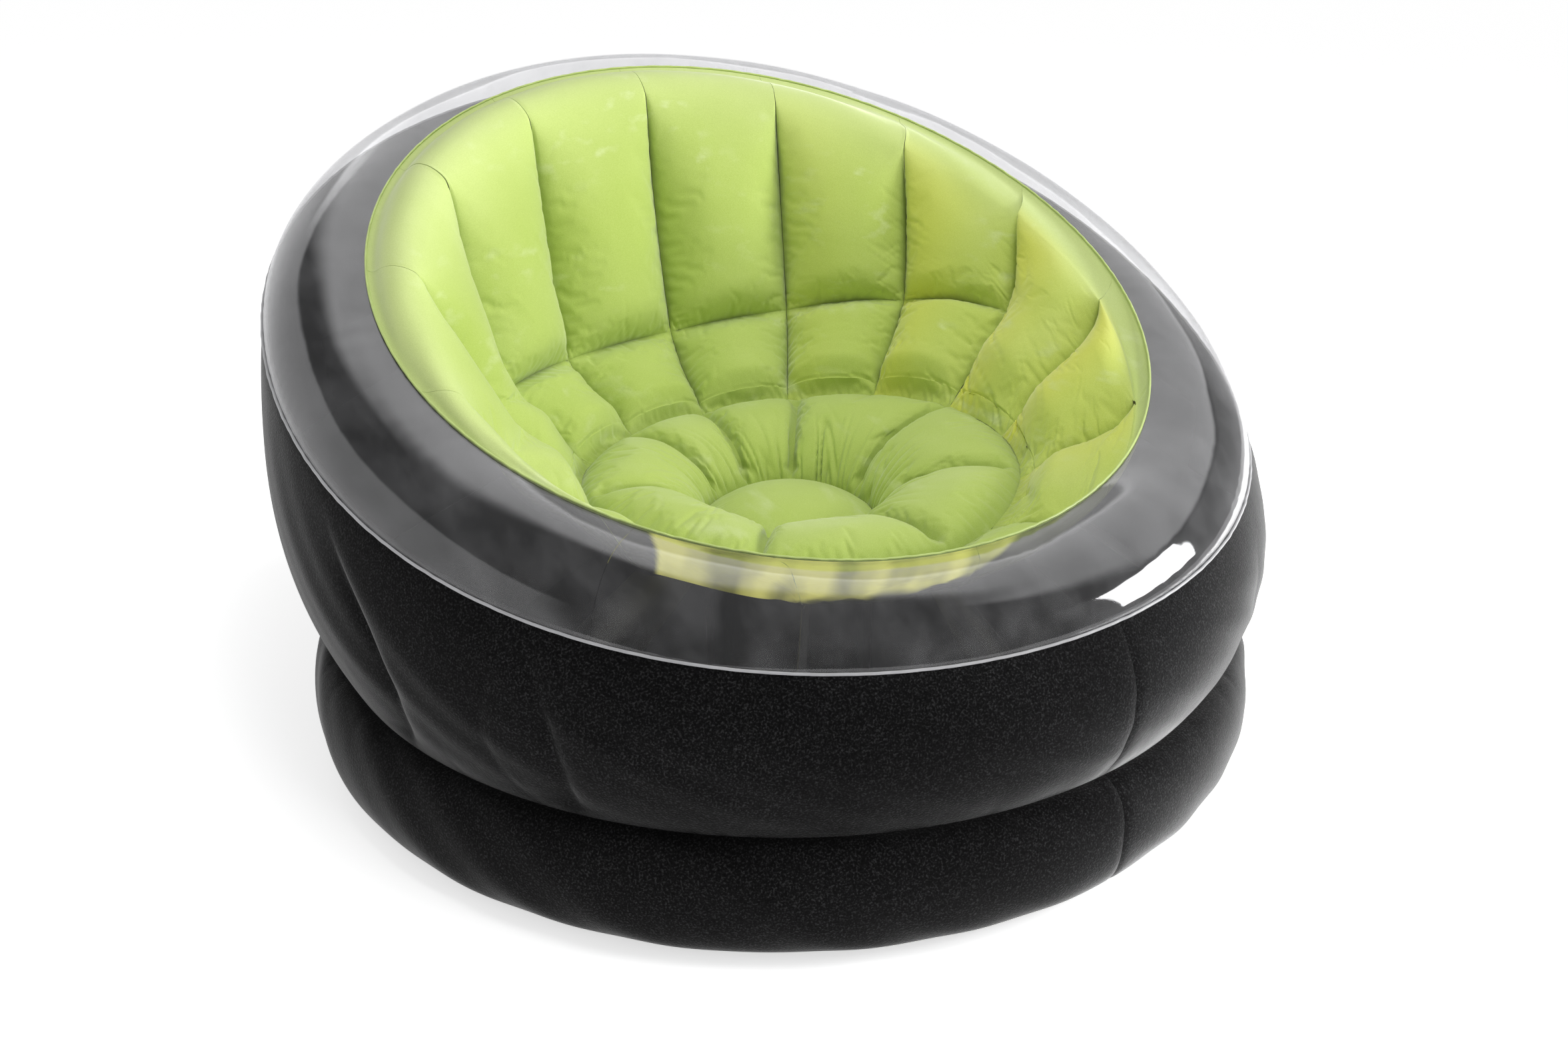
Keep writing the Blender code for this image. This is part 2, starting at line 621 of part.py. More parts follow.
def make_valve(wall):
    frame = valve_frame()
    low = GAP
    top = low + COLLAR_THICKNESS
    neck = COLLAR_BORE + COLLAR_WALL
    collar = turned("valve_collar", [
        (COLLAR_BORE, -COLLAR_DEPTH), (neck, -COLLAR_DEPTH), (neck, low), (COLLAR_FLANGE, low),
        (COLLAR_FLANGE, top - COLLAR_EDGE), (COLLAR_FLANGE - COLLAR_EDGE, top), (COLLAR_BORE, top),
    ], TURNED_SIDES, VALVE_PLASTIC)
    collar.matrix_world = frame

    hole = turned("valve_hole", [(0.0, -COLLAR_DEPTH), (neck + GAP, -COLLAR_DEPTH), (neck + GAP, COLLAR_DEPTH),
                                 (0.0, COLLAR_DEPTH)], TURNED_SIDES, VALVE_PLASTIC)
    hole.matrix_world = frame
    hole.hide_render = True
    hole.display_type = "WIRE"
    add_boolean(wall, hole, "DIFFERENCE")

    seat = top + GAP
    lip = seat + STOPPER_LIP
    under = lip - STOPPER_TOP
    plug = COLLAR_BORE - STOPPER_CLEARANCE
    bottom = seat - STOPPER_DEPTH
    stopper = turned("valve_stopper", [
        (CAP_BORE, under), (plug - STOPPER_WALL, under), (plug - STOPPER_TAPER - STOPPER_WALL, bottom),
        (plug - STOPPER_TAPER, bottom), (plug, seat), (STOPPER_FLANGE, seat), (STOPPER_FLANGE, lip), (CAP_BORE, lip),
    ], TURNED_SIDES, VALVE_PLASTIC)
    stopper_strap = strap("stopper_strap", -(plug + STOPPER_FLANGE) / 2, -STOPPER_HINGE, seat, STRAP_THICKNESS,
                          STRAP_WIDTH, VALVE_PLASTIC)
    stopper_pivot = Vector((0.0, -STOPPER_HINGE, seat + STRAP_THICKNESS / 2))
    add_boolean(stopper, stopper_strap, "UNION")

    cap_low = lip + GAP
    cap_top = cap_low + CAP_THICKNESS
    cap_plug = CAP_BORE - CAP_CLEARANCE
    cap = turned("valve_cap", [
        (0.0, cap_low - CAP_DEPTH), (cap_plug - CAP_TAPER, cap_low - CAP_DEPTH), (cap_plug, cap_low),
        (CAP_RADIUS, cap_low), (CAP_RADIUS, cap_top), (0.0, cap_top),
    ], TURNED_SIDES, CAP_PLASTIC)
    cap_strap = strap("cap_strap", cap_plug, CAP_HINGE, cap_low, CAP_STRAP_THICKNESS, CAP_STRAP_WIDTH, CAP_PLASTIC)
    cap_tab = strap("cap_tab", -cap_plug, -CAP_RADIUS - CAP_TAB, cap_low, CAP_STRAP_THICKNESS, CAP_STRAP_WIDTH,
                    CAP_PLASTIC)
    cap_pivot = Vector((0.0, CAP_HINGE, cap_low + CAP_STRAP_THICKNESS / 2))
    add_boolean(cap, cap_strap, "UNION")
    add_boolean(cap, cap_tab, "UNION")

    flap_top = under - GAP
    flap = turned("valve_flap", [
        (0.0, flap_top - FLAP_THICKNESS), (FLAP_RADIUS, flap_top - FLAP_THICKNESS), (FLAP_RADIUS, flap_top),
        (0.0, flap_top),
    ], TURNED_SIDES, FLAP_RUBBER)
    flap_pivot = Vector((0.0, -FLAP_RADIUS, flap_top - FLAP_THICKNESS / 2))

    for made, pivot in ((stopper, stopper_pivot), (stopper_strap, stopper_pivot), (cap, cap_pivot),
                        (cap_strap, cap_pivot), (cap_tab, cap_pivot), (flap, flap_pivot)):
        move_origin(made, pivot)
        made.matrix_world = frame @ made.matrix_world
    bpy.context.view_layer.update()
    for made, holder in ((stopper_strap, stopper), (cap, stopper), (flap, stopper), (cap_strap, cap),
                         (cap_tab, cap)):
        place = made.matrix_world.copy()
        made.parent = holder
        made.matrix_world = place
        bpy.context.view_layer.update()


def main():
    clear_scene()
    make_base()
    right_wall = make_outside()
    make_bowl()
    make_seat()
    make_valve(right_wall)


main()
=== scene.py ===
"""Looks of the inflatable tub chair: puffed flocked sheets, the clear rim, the welds, the light and the camera."""

import json
import math

import bmesh
import bpy
import numpy as np
from mathutils import Matrix, Vector

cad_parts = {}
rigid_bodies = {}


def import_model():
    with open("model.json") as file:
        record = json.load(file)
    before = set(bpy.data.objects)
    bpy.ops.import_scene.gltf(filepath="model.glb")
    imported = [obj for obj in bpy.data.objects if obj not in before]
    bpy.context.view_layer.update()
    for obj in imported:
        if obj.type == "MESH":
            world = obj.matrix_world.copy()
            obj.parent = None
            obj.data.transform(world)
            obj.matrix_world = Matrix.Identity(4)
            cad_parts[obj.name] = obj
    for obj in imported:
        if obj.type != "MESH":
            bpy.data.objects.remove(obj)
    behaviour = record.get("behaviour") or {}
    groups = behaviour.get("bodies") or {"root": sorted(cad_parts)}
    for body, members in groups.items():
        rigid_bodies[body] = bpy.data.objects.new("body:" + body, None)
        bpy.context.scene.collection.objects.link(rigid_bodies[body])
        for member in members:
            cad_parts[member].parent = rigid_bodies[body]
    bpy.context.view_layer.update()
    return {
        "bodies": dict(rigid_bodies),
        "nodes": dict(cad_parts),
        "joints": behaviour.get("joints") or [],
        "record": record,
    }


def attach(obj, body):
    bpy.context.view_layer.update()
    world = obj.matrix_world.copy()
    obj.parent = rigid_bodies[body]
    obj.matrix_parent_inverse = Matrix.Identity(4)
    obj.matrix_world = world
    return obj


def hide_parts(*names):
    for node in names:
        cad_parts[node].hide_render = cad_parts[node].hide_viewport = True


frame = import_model()

# Lengths are in metres. Angles run anticlockwise round the chair from its right side.
CHANNELS = 14
PITCH = math.tau / CHANNELS
BACK = math.pi / 2
FIRST_WELD = BACK + math.radians(3.6)
SEAMED = (0, 1, 2, 12, 13)  # the channels at the back, which end at a weld with a petal below it
BACK_MIDDLE = math.radians(81)  # the middle of those channels
LOW_FRONT = math.radians(-107)  # the middle of the front, where the bowl drops straight from its edge
FLOCKED = 0.0012  # sheet thicknesses
CLEAR = 0.0009
WEB = 0.0008
GAP = 0.0003  # between neighbouring panels
SEAT_WELD = 2.83  # where the weld above the seat lies, in the runs of bowl_points
CHANNEL_RADIUS = 0.36
WALL_RADIUS = 0.54
WALL_SEAM = BACK - 26 * math.tau / 56
RIM_SEAM = BACK - 34 * math.tau / 56
FLOOR_RADIUS = 0.4918
BUTTON_RADIUS = 0.0978
BUTTON_CENTRE = np.array((0.0, -0.024, 0.0))
LOBE_SEAMS = np.radians([-125, -77, -33, 15, 65, 96, 125, 175])
VALVE_AT = np.array((0.086277, 0.542821, 0.270707))
VALVE_OUT = np.array((0.140998, 0.959303, -0.244658))
VALVE_HOLE = 0.0228
BLOWING_FRAMES = 20
AIR_PRESSURE = 4
MOST_MOVE = 0.010  # the farthest that the air moves a bowl sheet
CHANNEL_SPARE, PETAL_SPARE, WHOLE_SPARE = 0.010, 0.017, 0.009  # spare cloth, as a share of its length
FULLEST_WHOLE, FULLEST_CHANNEL, FULLEST_PETAL = 0.048, 0.050, 0.042  # how far a sheet stands off its welds

# Folds of the outer wall: where in degrees, depth, width, and how far the line bends to one side.
FOLDS = ((-154, 0.011, 0.012, -0.45), (-133.2, 0.007, 0.010, -0.09), (-141, 0.002, 0.008, 0.3), (-108, 0.002, 0.020, 0),
         (-50, 0.002, 0.020, 0.1), (167, 0.008, 0.030, 0.1), (141, 0.006, 0.030, 0.1), (116, 0.004, 0.030, 0),
         (64, 0.004, 0.030, 0), (39, 0.004, 0.030, 0), (13, 0.005, 0.030, 0), (-13, 0.004, 0.030, 0))

# Bright parts of the studio that gloss shows: the arguments of studio_window.
WINDOWS = ((42, 68, 16, 0.50, 0.92, 0.10, 1.55), (62, 40, 14, -0.4, 0.60, 0.10, 0.72),
           (-4, 44, 10, -0.4, 0.55, 0.10, 0.30), (150, 64, 12, -0.4, 0.66, 0.05, 0.88))


# ---- weld lines round the chair ----

def ring(half_width, half_depth, centre_y, height, rise=0.0, saddle=0.0, pear=0.0, square=0.0,
         centre_x=0.0, sway=0.0):
    """A closed weld line: rise tips it up to the back, sway tips it to the right, and saddle bends it."""
    def at(angle):
        swell = 1 + pear * np.sin(3 * angle) + square * np.cos(4 * angle)
        return np.stack((centre_x + half_width * np.cos(angle) * swell, centre_y + half_depth * np.sin(angle) * swell,
                         height + rise * np.sin(angle) + sway * np.cos(angle) + saddle * np.cos(2 * angle)), -1)
    return at


CREASE = ring(0.508, 0.508, 0.0, 0.129, 0.008)
WELD = ring(0.541, 0.544, 0.047, 0.443, 0.1875, -0.017, 0.010, -0.010)
EDGE = ring(0.429, 0.432, 0.045, 0.493, 0.174, -0.005)
BAND = ring(0.405, 0.402, 0.018, 0.465, 0.163, -0.004, centre_x=0.007, sway=-0.012)
SEAM = ring(0.360, 0.355, -0.008, 0.325, 0.048, 0.026, centre_x=0.012, sway=0.034)
FOOT = ring(0.246, 0.260, -0.0275, 0.270, -0.002, 0.0105, centre_x=0.009, sway=0.0155)
BUTTON = ring(0.098, 0.098, -0.024, 0.220)
UP = np.array((0.0, 0.0, 1.0))


def outward(angle):
    """Level directions away from the middle of the chair."""
    return np.stack((np.cos(angle), np.sin(angle), np.zeros_like(angle)), -1)


def unit(rows):
    return rows / np.maximum(np.linalg.norm(rows, axis=-1, keepdims=True), 1e-12)


def smooth(low, high, value):
    """0 up to low, 1 from high on, and an even change between them."""
    share = np.clip((value - low) / (high - low), 0, 1)
    return share * share * (3 - 2 * share)


def turned_from(angle, middle):
    """How far each angle lies from a middle, whichever way round is shorter."""
    return np.abs((angle - middle + math.pi) % math.tau - math.pi)


def along_sheet(grid):
    """The distance down each column of a grid from its first row."""
    steps = np.linalg.norm(np.diff(grid, axis=1), axis=-1)
    return np.concatenate((np.zeros((len(grid), 1)), np.cumsum(steps, 1)), 1)


def pleats(angle, count, sway, sharpness, seed, *places):
    """Narrow lines, 1 on each line and 0 between them, count of them to half a turn."""
    wave = np.abs(np.sin(angle * count + sway * wander(seed, *places)))
    return (1 - wave) ** sharpness


def wander(seed, *places):
    """A smooth, repeatable wandering between -1 and 1."""
    total = 0.0
    for turn in range(1, 5):
        phase = seed * 1.7 * turn + 0.9 * turn * turn
        total = total + np.sin(sum(place * (1.0 + 0.37 * turn + 0.21 * axis) * turn ** 0.5 + phase * (axis + 1)
                                   for axis, place in enumerate(places))) / 4
    return total * 1.6


def bowed(first, last, angle, shares, bow):
    """Rows of points from one line to the next, pushed out square to the straight way by bow."""
    run = last - first
    out = outward(angle)
    side = unit(out * run[:, 2:] - UP * np.sum(run * out, -1, keepdims=True))
    return first[:, None] + run[:, None] * shares[None, :, None] + side[:, None] * bow


def chord(start, end, bulge, angle, shares, roundness=1.0):
    """Rows of points from one weld line to the next, bowed out at the middle: (angle, share, xyz)."""
    share = shares[None, :, None]
    bow = (4 * share * (1 - share)) ** roundness * np.reshape(bulge, (-1, 1, 1))
    return bowed(start(angle), end(angle), angle, shares, bow)


def facing(grid, wrap=False):
    """The outer side of a grid that runs anticlockwise and up the outside of the skin."""
    if wrap:
        round_way = np.roll(grid, -1, 0) - np.roll(grid, 1, 0)
    else:
        round_way = np.gradient(grid, axis=0)
    return unit(np.cross(round_way, np.gradient(grid, axis=1)))


# ---- finishes ----

def shader_of(name, colour, rough, sheen=0.0, sheen_rough=0.5, specular=0.5):
    """A new finish, with its nodes, its shader and the place on the piece."""
    made = bpy.data.materials.new(name)
    made.use_nodes = True
    tree = made.node_tree
    shader = tree.nodes["Principled BSDF"]
    shader.inputs["Base Color"].default_value = (*colour, 1)
    shader.inputs["Roughness"].default_value = rough
    shader.inputs["Sheen Weight"].default_value = sheen
    shader.inputs["Sheen Roughness"].default_value = sheen_rough
    shader.inputs["Specular IOR Level"].default_value = specular
    place = tree.nodes.new("ShaderNodeTexCoord").outputs["Object"]
    return made, tree, shader, place


def noise(tree, place, scale, detail=2.0, stretch=None, turn=0.0):
    """Cloudy noise over the piece, stretched and turned where that is asked for."""
    if stretch:
        mapping = tree.nodes.new("ShaderNodeMapping")
        mapping.inputs["Scale"].default_value = stretch
        mapping.inputs["Rotation"].default_value = (turn, turn * 0.5, turn)
        tree.links.new(place, mapping.inputs["Vector"])
        place = mapping.outputs["Vector"]
    node = tree.nodes.new("ShaderNodeTexNoise")
    node.inputs["Scale"].default_value = scale
    node.inputs["Detail"].default_value = detail
    tree.links.new(place, node.inputs["Vector"])
    return node.outputs["Fac"]


def ramp(tree, factor, *stops):
    """Colours that follow a factor, each stop a (position, colour)."""
    node = tree.nodes.new("ShaderNodeValToRGB")
    places = node.color_ramp.elements
    while len(places) < len(stops):
        places.new(0.5)
    for element, (position, colour) in zip(places, stops):
        element.position = position
        element.color = (*colour, 1)
    tree.links.new(factor, node.inputs["Fac"])
    return node.outputs["Color"]


def mixed(tree, factor, first, second, kind="MIX"):
    """Two colours blended by a factor. Each of the three is a socket or a plain value."""
    node = tree.nodes.new("ShaderNodeMix")
    node.data_type = "RGBA"
    node.blend_type = kind
    for socket, value in ((node.inputs[0], factor), (node.inputs[6], first), (node.inputs[7], second)):
        if isinstance(value, bpy.types.NodeSocket):
            tree.links.new(value, socket)
        else:
            socket.default_value = value if socket == node.inputs[0] else (*value, 1)
    return node.outputs[2]


def calculated(tree, kind, *values):
    """One sum, with sockets or plain numbers as its values."""
    node = tree.nodes.new("ShaderNodeMath")
    node.operation = kind
    for socket, value in zip(node.inputs, values):
        if isinstance(value, bpy.types.NodeSocket):
            tree.links.new(value, socket)
        else:
            socket.default_value = value
    return node.outputs[0]


def eased(tree, value, low, high):
    """What smooth does, for a socket."""
    node = tree.nodes.new("ShaderNodeMapRange")
    node.interpolation_type = "SMOOTHSTEP"
    node.inputs["From Min"].default_value, node.inputs["From Max"].default_value = low, high
    tree.links.new(value, node.inputs["Value"])
    return node.outputs["Result"]


def bumped(tree, shaders, *layers):
    """Bump layers of (height, strength, distance), coarsest first, on every shader given."""
    last = None
    for height, strength, distance in layers:
        bump = tree.nodes.new("ShaderNodeBump")
        bump.inputs["Strength"].default_value = strength
        bump.inputs["Distance"].default_value = distance
        tree.links.new(height, bump.inputs["Height"])
        if last:
            tree.links.new(last, bump.inputs["Normal"])
        last = bump.outputs["Normal"]
    for shader in shaders:
        tree.links.new(last, shader.inputs["Normal"])


def green_flock():
    """The bowl's flock. The mark's red is wear, its green painted shade in the welds and folds, its blue a painted
    yellow glow of light through the sheet.
    """
    made, tree, shader, place = shader_of("green_flock", (0.44, 0.58, 0.13), 0.85, 0.40, 0.45, 0.2)
    broad = noise(tree, place, 7, 3)
    colour = ramp(tree, broad, (0.30, (0.420, 0.535, 0.110)), (0.55, (0.460, 0.570, 0.142)),
                  (0.75, (0.520, 0.620, 0.200)))
    marks = tree.nodes.new("ShaderNodeAttribute")
    marks.attribute_name = "wear_and_painted_light"
    mark = tree.nodes.new("ShaderNodeSeparateColor")
    tree.links.new(marks.outputs["Color"], mark.inputs["Color"])
    # painted glow: the mark's blue mixes in the yellow of light shining through the sheet
    colour = mixed(tree, mark.outputs["Blue"], colour, (0.76, 0.73, 0.075))
    worn = calculated(tree, "MULTIPLY", mark.outputs["Red"], 0.60)
    colour = mixed(tree, worn, colour, (0.60, 0.67, 0.34))
    # painted shade: the welds, folds and the recess by the seat are darkened towards deep green
    painted_shade = calculated(tree, "MULTIPLY", mark.outputs["Green"], 0.62)
    colour = mixed(tree, painted_shade, colour, (0.20, 0.28, 0.035))
    scuffs = ramp(tree, noise(tree, place, 34, 7, (1.0, 0.35, 1.6), 0.7), (0.56, (0, 0, 0)), (0.72, (1, 1, 1)))
    patches = ramp(tree, noise(tree, place, 9, 2), (0.45, (0, 0, 0)), (0.62, (0.55, 0.55, 0.55)))
    colour = mixed(tree, mixed(tree, 1.0, scuffs, patches, "MULTIPLY"), colour, (0.66, 0.73, 0.42))
    grain = noise(tree, place, 1100, 2)
    colour = mixed(tree, 0.25, colour, ramp(tree, grain, (0.3, (0.30, 0.42, 0.07)), (0.7, (0.58, 0.70, 0.25))))
    tree.links.new(colour, shader.inputs["Base Color"])
    bumped(tree, [shader], (noise(tree, place, 60, 5), 0.25, 0.0015), (grain, 0.35, 0.0004))
    return made


def dark_flock():
    """The flock of the wall and the base, nearly black with pale specks."""
    made, tree, shader, place = shader_of("dark_flock", (0.010, 0.010, 0.0105), 0.9, 0.45, 0.30, 0.1)
    speckle = noise(tree, place, 520, 4)
    colour = ramp(tree, speckle, (0.36, (0.0015, 0.0015, 0.0016)), (0.52, (0.0045, 0.0045, 0.0047)),
                  (0.72, (0.030, 0.030, 0.031)))
    broad = ramp(tree, noise(tree, place, 11, 4), (0.35, (0.7, 0.7, 0.7)), (0.70, (1, 1, 1)))
    tree.links.new(mixed(tree, 1.0, colour, broad, "MULTIPLY"), shader.inputs["Base Color"])
    bumped(tree, [shader], (noise(tree, place, 45, 4), 0.2, 0.0015), (speckle, 0.5, 0.0008))
    return made


def vinyl(name, colour, rough):
    """Plain sheet vinyl, the unflocked back of the sheets."""
    made, tree, shader, place = shader_of(name, colour, rough)
    light = tuple(min(1.0, c * 1.18 + 0.003) for c in colour)
    tree.links.new(ramp(tree, noise(tree, place, 40, 3), (0.35, colour), (0.7, light)), shader.inputs["Base Color"])
    bumped(tree, [shader], (noise(tree, place, 55, 4), 0.25, 0.001), (noise(tree, place, 600, 1), 0.1, 0.0002))
    return made


def clear_film():
    """Smoke-tinted clear vinyl: mostly see-through, mirror-like at a slant, with a faint haze of scratches."""
    made = bpy.data.materials.new("clear_film")
    made.use_nodes = True
    tree = made.node_tree
    tree.nodes.clear()
    place = tree.nodes.new("ShaderNodeTexCoord").outputs["Object"]
    output = tree.nodes.new("ShaderNodeOutputMaterial")
    clear = tree.nodes.new("ShaderNodeBsdfTransparent")
    clear.inputs["Color"].default_value = (0.93, 0.93, 0.935, 1)
    gloss = tree.nodes.new("ShaderNodeBsdfGlossy")
    gloss.inputs["Roughness"].default_value = 0.05
    gloss.inputs["Color"].default_value = (0.95, 0.95, 0.96, 1)
    haze = tree.nodes.new("ShaderNodeBsdfDiffuse")
    haze.inputs["Color"].default_value = (0.50, 0.50, 0.51, 1)
    slant = tree.nodes.new("ShaderNodeFresnel")
    # the same slant law on the way in and on the way out of so thin a sheet
    inside = tree.nodes.new("ShaderNodeNewGeometry").outputs["Backfacing"]
    index = 1.5
    change = calculated(tree, "MULTIPLY", inside, 1 / index - index)
    tree.links.new(calculated(tree, "ADD", change, index), slant.inputs["IOR"])
    bumped(tree, (gloss, slant), (noise(tree, place, 8, 2), 0.20, 0.004), (noise(tree, place, 70, 3), 0.05, 0.0005))
    body = tree.nodes.new("ShaderNodeMixShader")
    marks = ramp(tree, noise(tree, place, 26, 6, (1, 0.3, 1), 0.5), (0.40, (0.03, 0.03, 0.03)),
                 (0.80, (0.09, 0.09, 0.09)))
    tree.links.new(marks, body.inputs["Fac"])
    tree.links.new(clear.outputs["BSDF"], body.inputs[1])
    tree.links.new(haze.outputs["BSDF"], body.inputs[2])
    whole = tree.nodes.new("ShaderNodeMixShader")
    tree.links.new(slant.outputs["Fac"], whole.inputs["Fac"])
    tree.links.new(body.outputs["Shader"], whole.inputs[1])
    tree.links.new(gloss.outputs["BSDF"], whole.inputs[2])
    tree.links.new(whole.outputs["Shader"], output.inputs["Surface"])
    return made


def lit_back():
    """The back of the green sheet: a painted glow where light falling on the low front of the bowl shines through, and
    painted shade, near black, where it does not.
    """
    made = vinyl("green_back", (0.50, 0.54, 0.10), 0.45)
    tree = made.node_tree
    shader = tree.nodes["Principled BSDF"]
    place = tree.nodes.new("ShaderNodeTexCoord").outputs["Object"]
    parts = tree.nodes.new("ShaderNodeSeparateXYZ")
    tree.links.new(place, parts.inputs["Vector"])
    front = eased(tree, calculated(tree, "MULTIPLY", parts.outputs["Y"], -1.0), 0.18, 0.25)
    ribs = ramp(tree, noise(tree, place, 30, 1, (1.0, 0.4, 0.12)), (0.36, (0.12, 0.12, 0.12)),
                (0.62, (0.62, 0.62, 0.62)))
    # painted glow: the back emits yellow light where light falling on the front would shine through
    shader.inputs["Emission Color"].default_value = (0.86, 0.82, 0.20, 1)
    marks = tree.nodes.new("ShaderNodeAttribute")
    marks.attribute_name = "wear_and_painted_light"
    painted_shine = marks.outputs["Alpha"]
    # painted shade: the back is near black where no light comes through
    colour = mixed(tree, painted_shine, (0.045, 0.050, 0.012), shader.inputs["Base Color"].links[0].from_socket)
    tree.links.new(colour, shader.inputs["Base Color"])
    lit = calculated(tree, "MULTIPLY", front, painted_shine)
    tree.links.new(calculated(tree, "MULTIPLY", lit, ribs), shader.inputs["Emission Strength"])
    return made


GREEN = green_flock()
DARK = dark_flock()
GREEN_BACK = lit_back()
DARK_BACK = vinyl("dark_back", (0.012, 0.012, 0.013), 0.45)
DARK_WEB = vinyl("dark_web", (0.014, 0.014, 0.015), 0.5)
FILM = clear_film()
WELD_CLEAR = vinyl("welded_clear", (0.34, 0.34, 0.35), 0.3)
WELD_GREEN = vinyl("welded_green", (0.42, 0.52, 0.17), 0.32)
VALVE_PLASTIC = vinyl("valve_plastic", (0.035, 0.035, 0.038), 0.42)
CAP_PLASTIC = vinyl("cap_plastic", (0.045, 0.045, 0.048), 0.36)
FLAP_RUBBER = vinyl("flap_rubber", (0.30, 0.30, 0.29), 0.6)


# ---- sheets ----

def finished(name, mesh, node, materials):
    """Puts a mesh in the scene with its finishes, in place of its solid, on the chamber."""
    made = bpy.data.objects.new(name, mesh)
    bpy.context.scene.collection.objects.link(made)
    for material in materials:
        mesh.materials.append(material)
    mesh.shade_smooth()
    mesh.set_sharp_from_angle(angle=math.radians(55))
    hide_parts(node)
    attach(made, "chamber")
    return made


def shell(node, grid, thickness, front, back=None, wrap=False, pole=False, marks=None):
    """A thin closed sheet whose outer face lies on the grid, with its back face in a second finish.

    wrap joins the last column to the first, and pole closes the last row to one point.
    """
    columns, rows = grid.shape[:2]
    normal = facing(grid, wrap)
    if pole:
        normal[:, -1] = unit(normal[:, -2].mean(0))
    points = np.concatenate((grid.reshape(-1, 3), (grid - normal * thickness).reshape(-1, 3)))
    total = columns * rows
    first = np.arange(columns if wrap else columns - 1)
    after = (first + 1) % columns
    row = np.arange(rows - 1)
    a = (first[:, None] * rows + row).ravel()
    b = (after[:, None] * rows + row).ravel()
    front_faces = np.stack((a, b, b + 1, a + 1), 1)
    faces = [front_faces, front_faces[:, ::-1] + total]
    for end, flip in ((0, True), (rows - 1, False)):
        if pole and end:
            continue
        one, two = first * rows + end, after * rows + end
        rim = np.stack((one, two, two + total, one + total), 1)
        faces.append(rim[:, ::-1] if flip else rim)
    if not wrap:
        for end, flip in ((0, False), (columns - 1, True)):
            one = end * rows + row
            rim = np.stack((one, one + 1, one + 1 + total, one + total), 1)
            faces.append(rim[:, ::-1] if flip else rim)
    finish = np.zeros(sum(len(f) for f in faces), np.int32)
    finish[len(faces[0]):len(faces[0]) * 2] = 1 if back else 0
    mesh = bpy.data.meshes.new("soft_" + node)
    mesh.from_pydata(points.tolist(), [], np.concatenate([f[:, ::-1] for f in faces]).tolist())
    mesh.polygons.foreach_set("material_index", finish)
    # the marks carry wear and painted light: painted shade, a painted yellow glow, and where the back glows
    if marks is not None:
        colours = np.zeros((2, total, 4))
        colours[:] = marks.reshape(-1, 4)
        mesh.color_attributes.new("wear_and_painted_light", "FLOAT_COLOR", "POINT").data.foreach_set("color", colours.ravel())
    if pole:
        shape = bmesh.new()
        shape.from_mesh(mesh)
        bmesh.ops.remove_doubles(shape, verts=shape.verts, dist=1e-5)
        shape.to_mesh(mesh)
        shape.free()
    shape = bmesh.new()
    shape.from_mesh(mesh)
    if shape.calc_volume(signed=True) < 0:
        bmesh.ops.reverse_faces(shape, faces=shape.faces)
        shape.to_mesh(mesh)
    shape.free()
    return finished("soft_" + node, mesh, node, [front] + ([back] if back else []))


# ---- blowing a sheet up ----

def refined(grid, wrap=False):
    """Twice as many rows both ways, on a smooth curve through the same points."""
    for axis in (0, 1):
        rows = np.moveaxis(grid, axis, 0)
        if wrap and axis == 0:
            before, after, far = np.roll(rows, 1, 0), np.roll(rows, -1, 0), np.roll(rows, -2, 0)
            kept = rows
        else:
            longer = np.concatenate((2 * rows[:1] - rows[1:2], rows, 2 * rows[-1:] - rows[-2:-1]))
            before, kept, after, far = longer[:-3], longer[1:-2], longer[2:-1], longer[3:]
        middle = (9 * (kept + after) - before - far) / 16
        both = np.stack((kept, middle), 1).reshape(-1, *rows.shape[1:])
        if not (wrap and axis == 0):
            both = np.concatenate((both, rows[-1:]))
        grid = np.moveaxis(both, 0, axis)
    return grid


def inflated(grid, welds, spare, most, wrap=False):
    """The sheet as cloth held along its welds and blown up by the air behind it, moved no farther than most."""
    columns, rows = grid.shape[:2]
    first = np.arange(columns if wrap else columns - 1)
    a = (first[:, None] * rows + np.arange(rows - 1)).ravel()
    b = ((first + 1)[:, None] % columns * rows + np.arange(rows - 1)).ravel()
    mesh = bpy.data.meshes.new("sheet")
    mesh.from_pydata(grid.reshape(-1, 3).tolist(), [], np.stack((a, b, b + 1, a + 1), 1).tolist())
    made = bpy.data.objects.new("sheet", mesh)
    bpy.context.scene.collection.objects.link(made)
    made.vertex_groups.new(name="welds").add(np.flatnonzero(welds.ravel()).tolist(), 1.0, "REPLACE")
    cloth = made.modifiers.new("air", "CLOTH")
    how = cloth.settings
    how.quality = 5
    how.mass = 0.3
    how.tension_stiffness = how.compression_stiffness = 15
    how.shear_stiffness = 7.5
    how.bending_stiffness = 1.0
    how.vertex_group_mass = "welds"
    how.shrink_min = -spare
    how.use_pressure = True
    how.uniform_pressure_force = AIR_PRESSURE
    how.effector_weights.gravity = 0
    cloth.point_cache.frame_start, cloth.point_cache.frame_end = 1, BLOWING_FRAMES
    scene = bpy.context.scene
    scene.frame_start, scene.frame_end = 1, BLOWING_FRAMES
    for frame in range(1, BLOWING_FRAMES + 1):
        scene.frame_set(frame)
    blown = made.evaluated_get(bpy.context.evaluated_depsgraph_get()).to_mesh()
    places = np.zeros(columns * rows * 3)
    blown.vertices.foreach_get("co", places)
    bpy.data.objects.remove(made, do_unlink=True)
    scene.frame_set(1)
    move = places.reshape(grid.shape) - grid
    far = np.linalg.norm(move, axis=-1, keepdims=True)
    return grid + move * np.minimum(1, most / np.maximum(far, 1e-9))


# ---- the green bowl ----

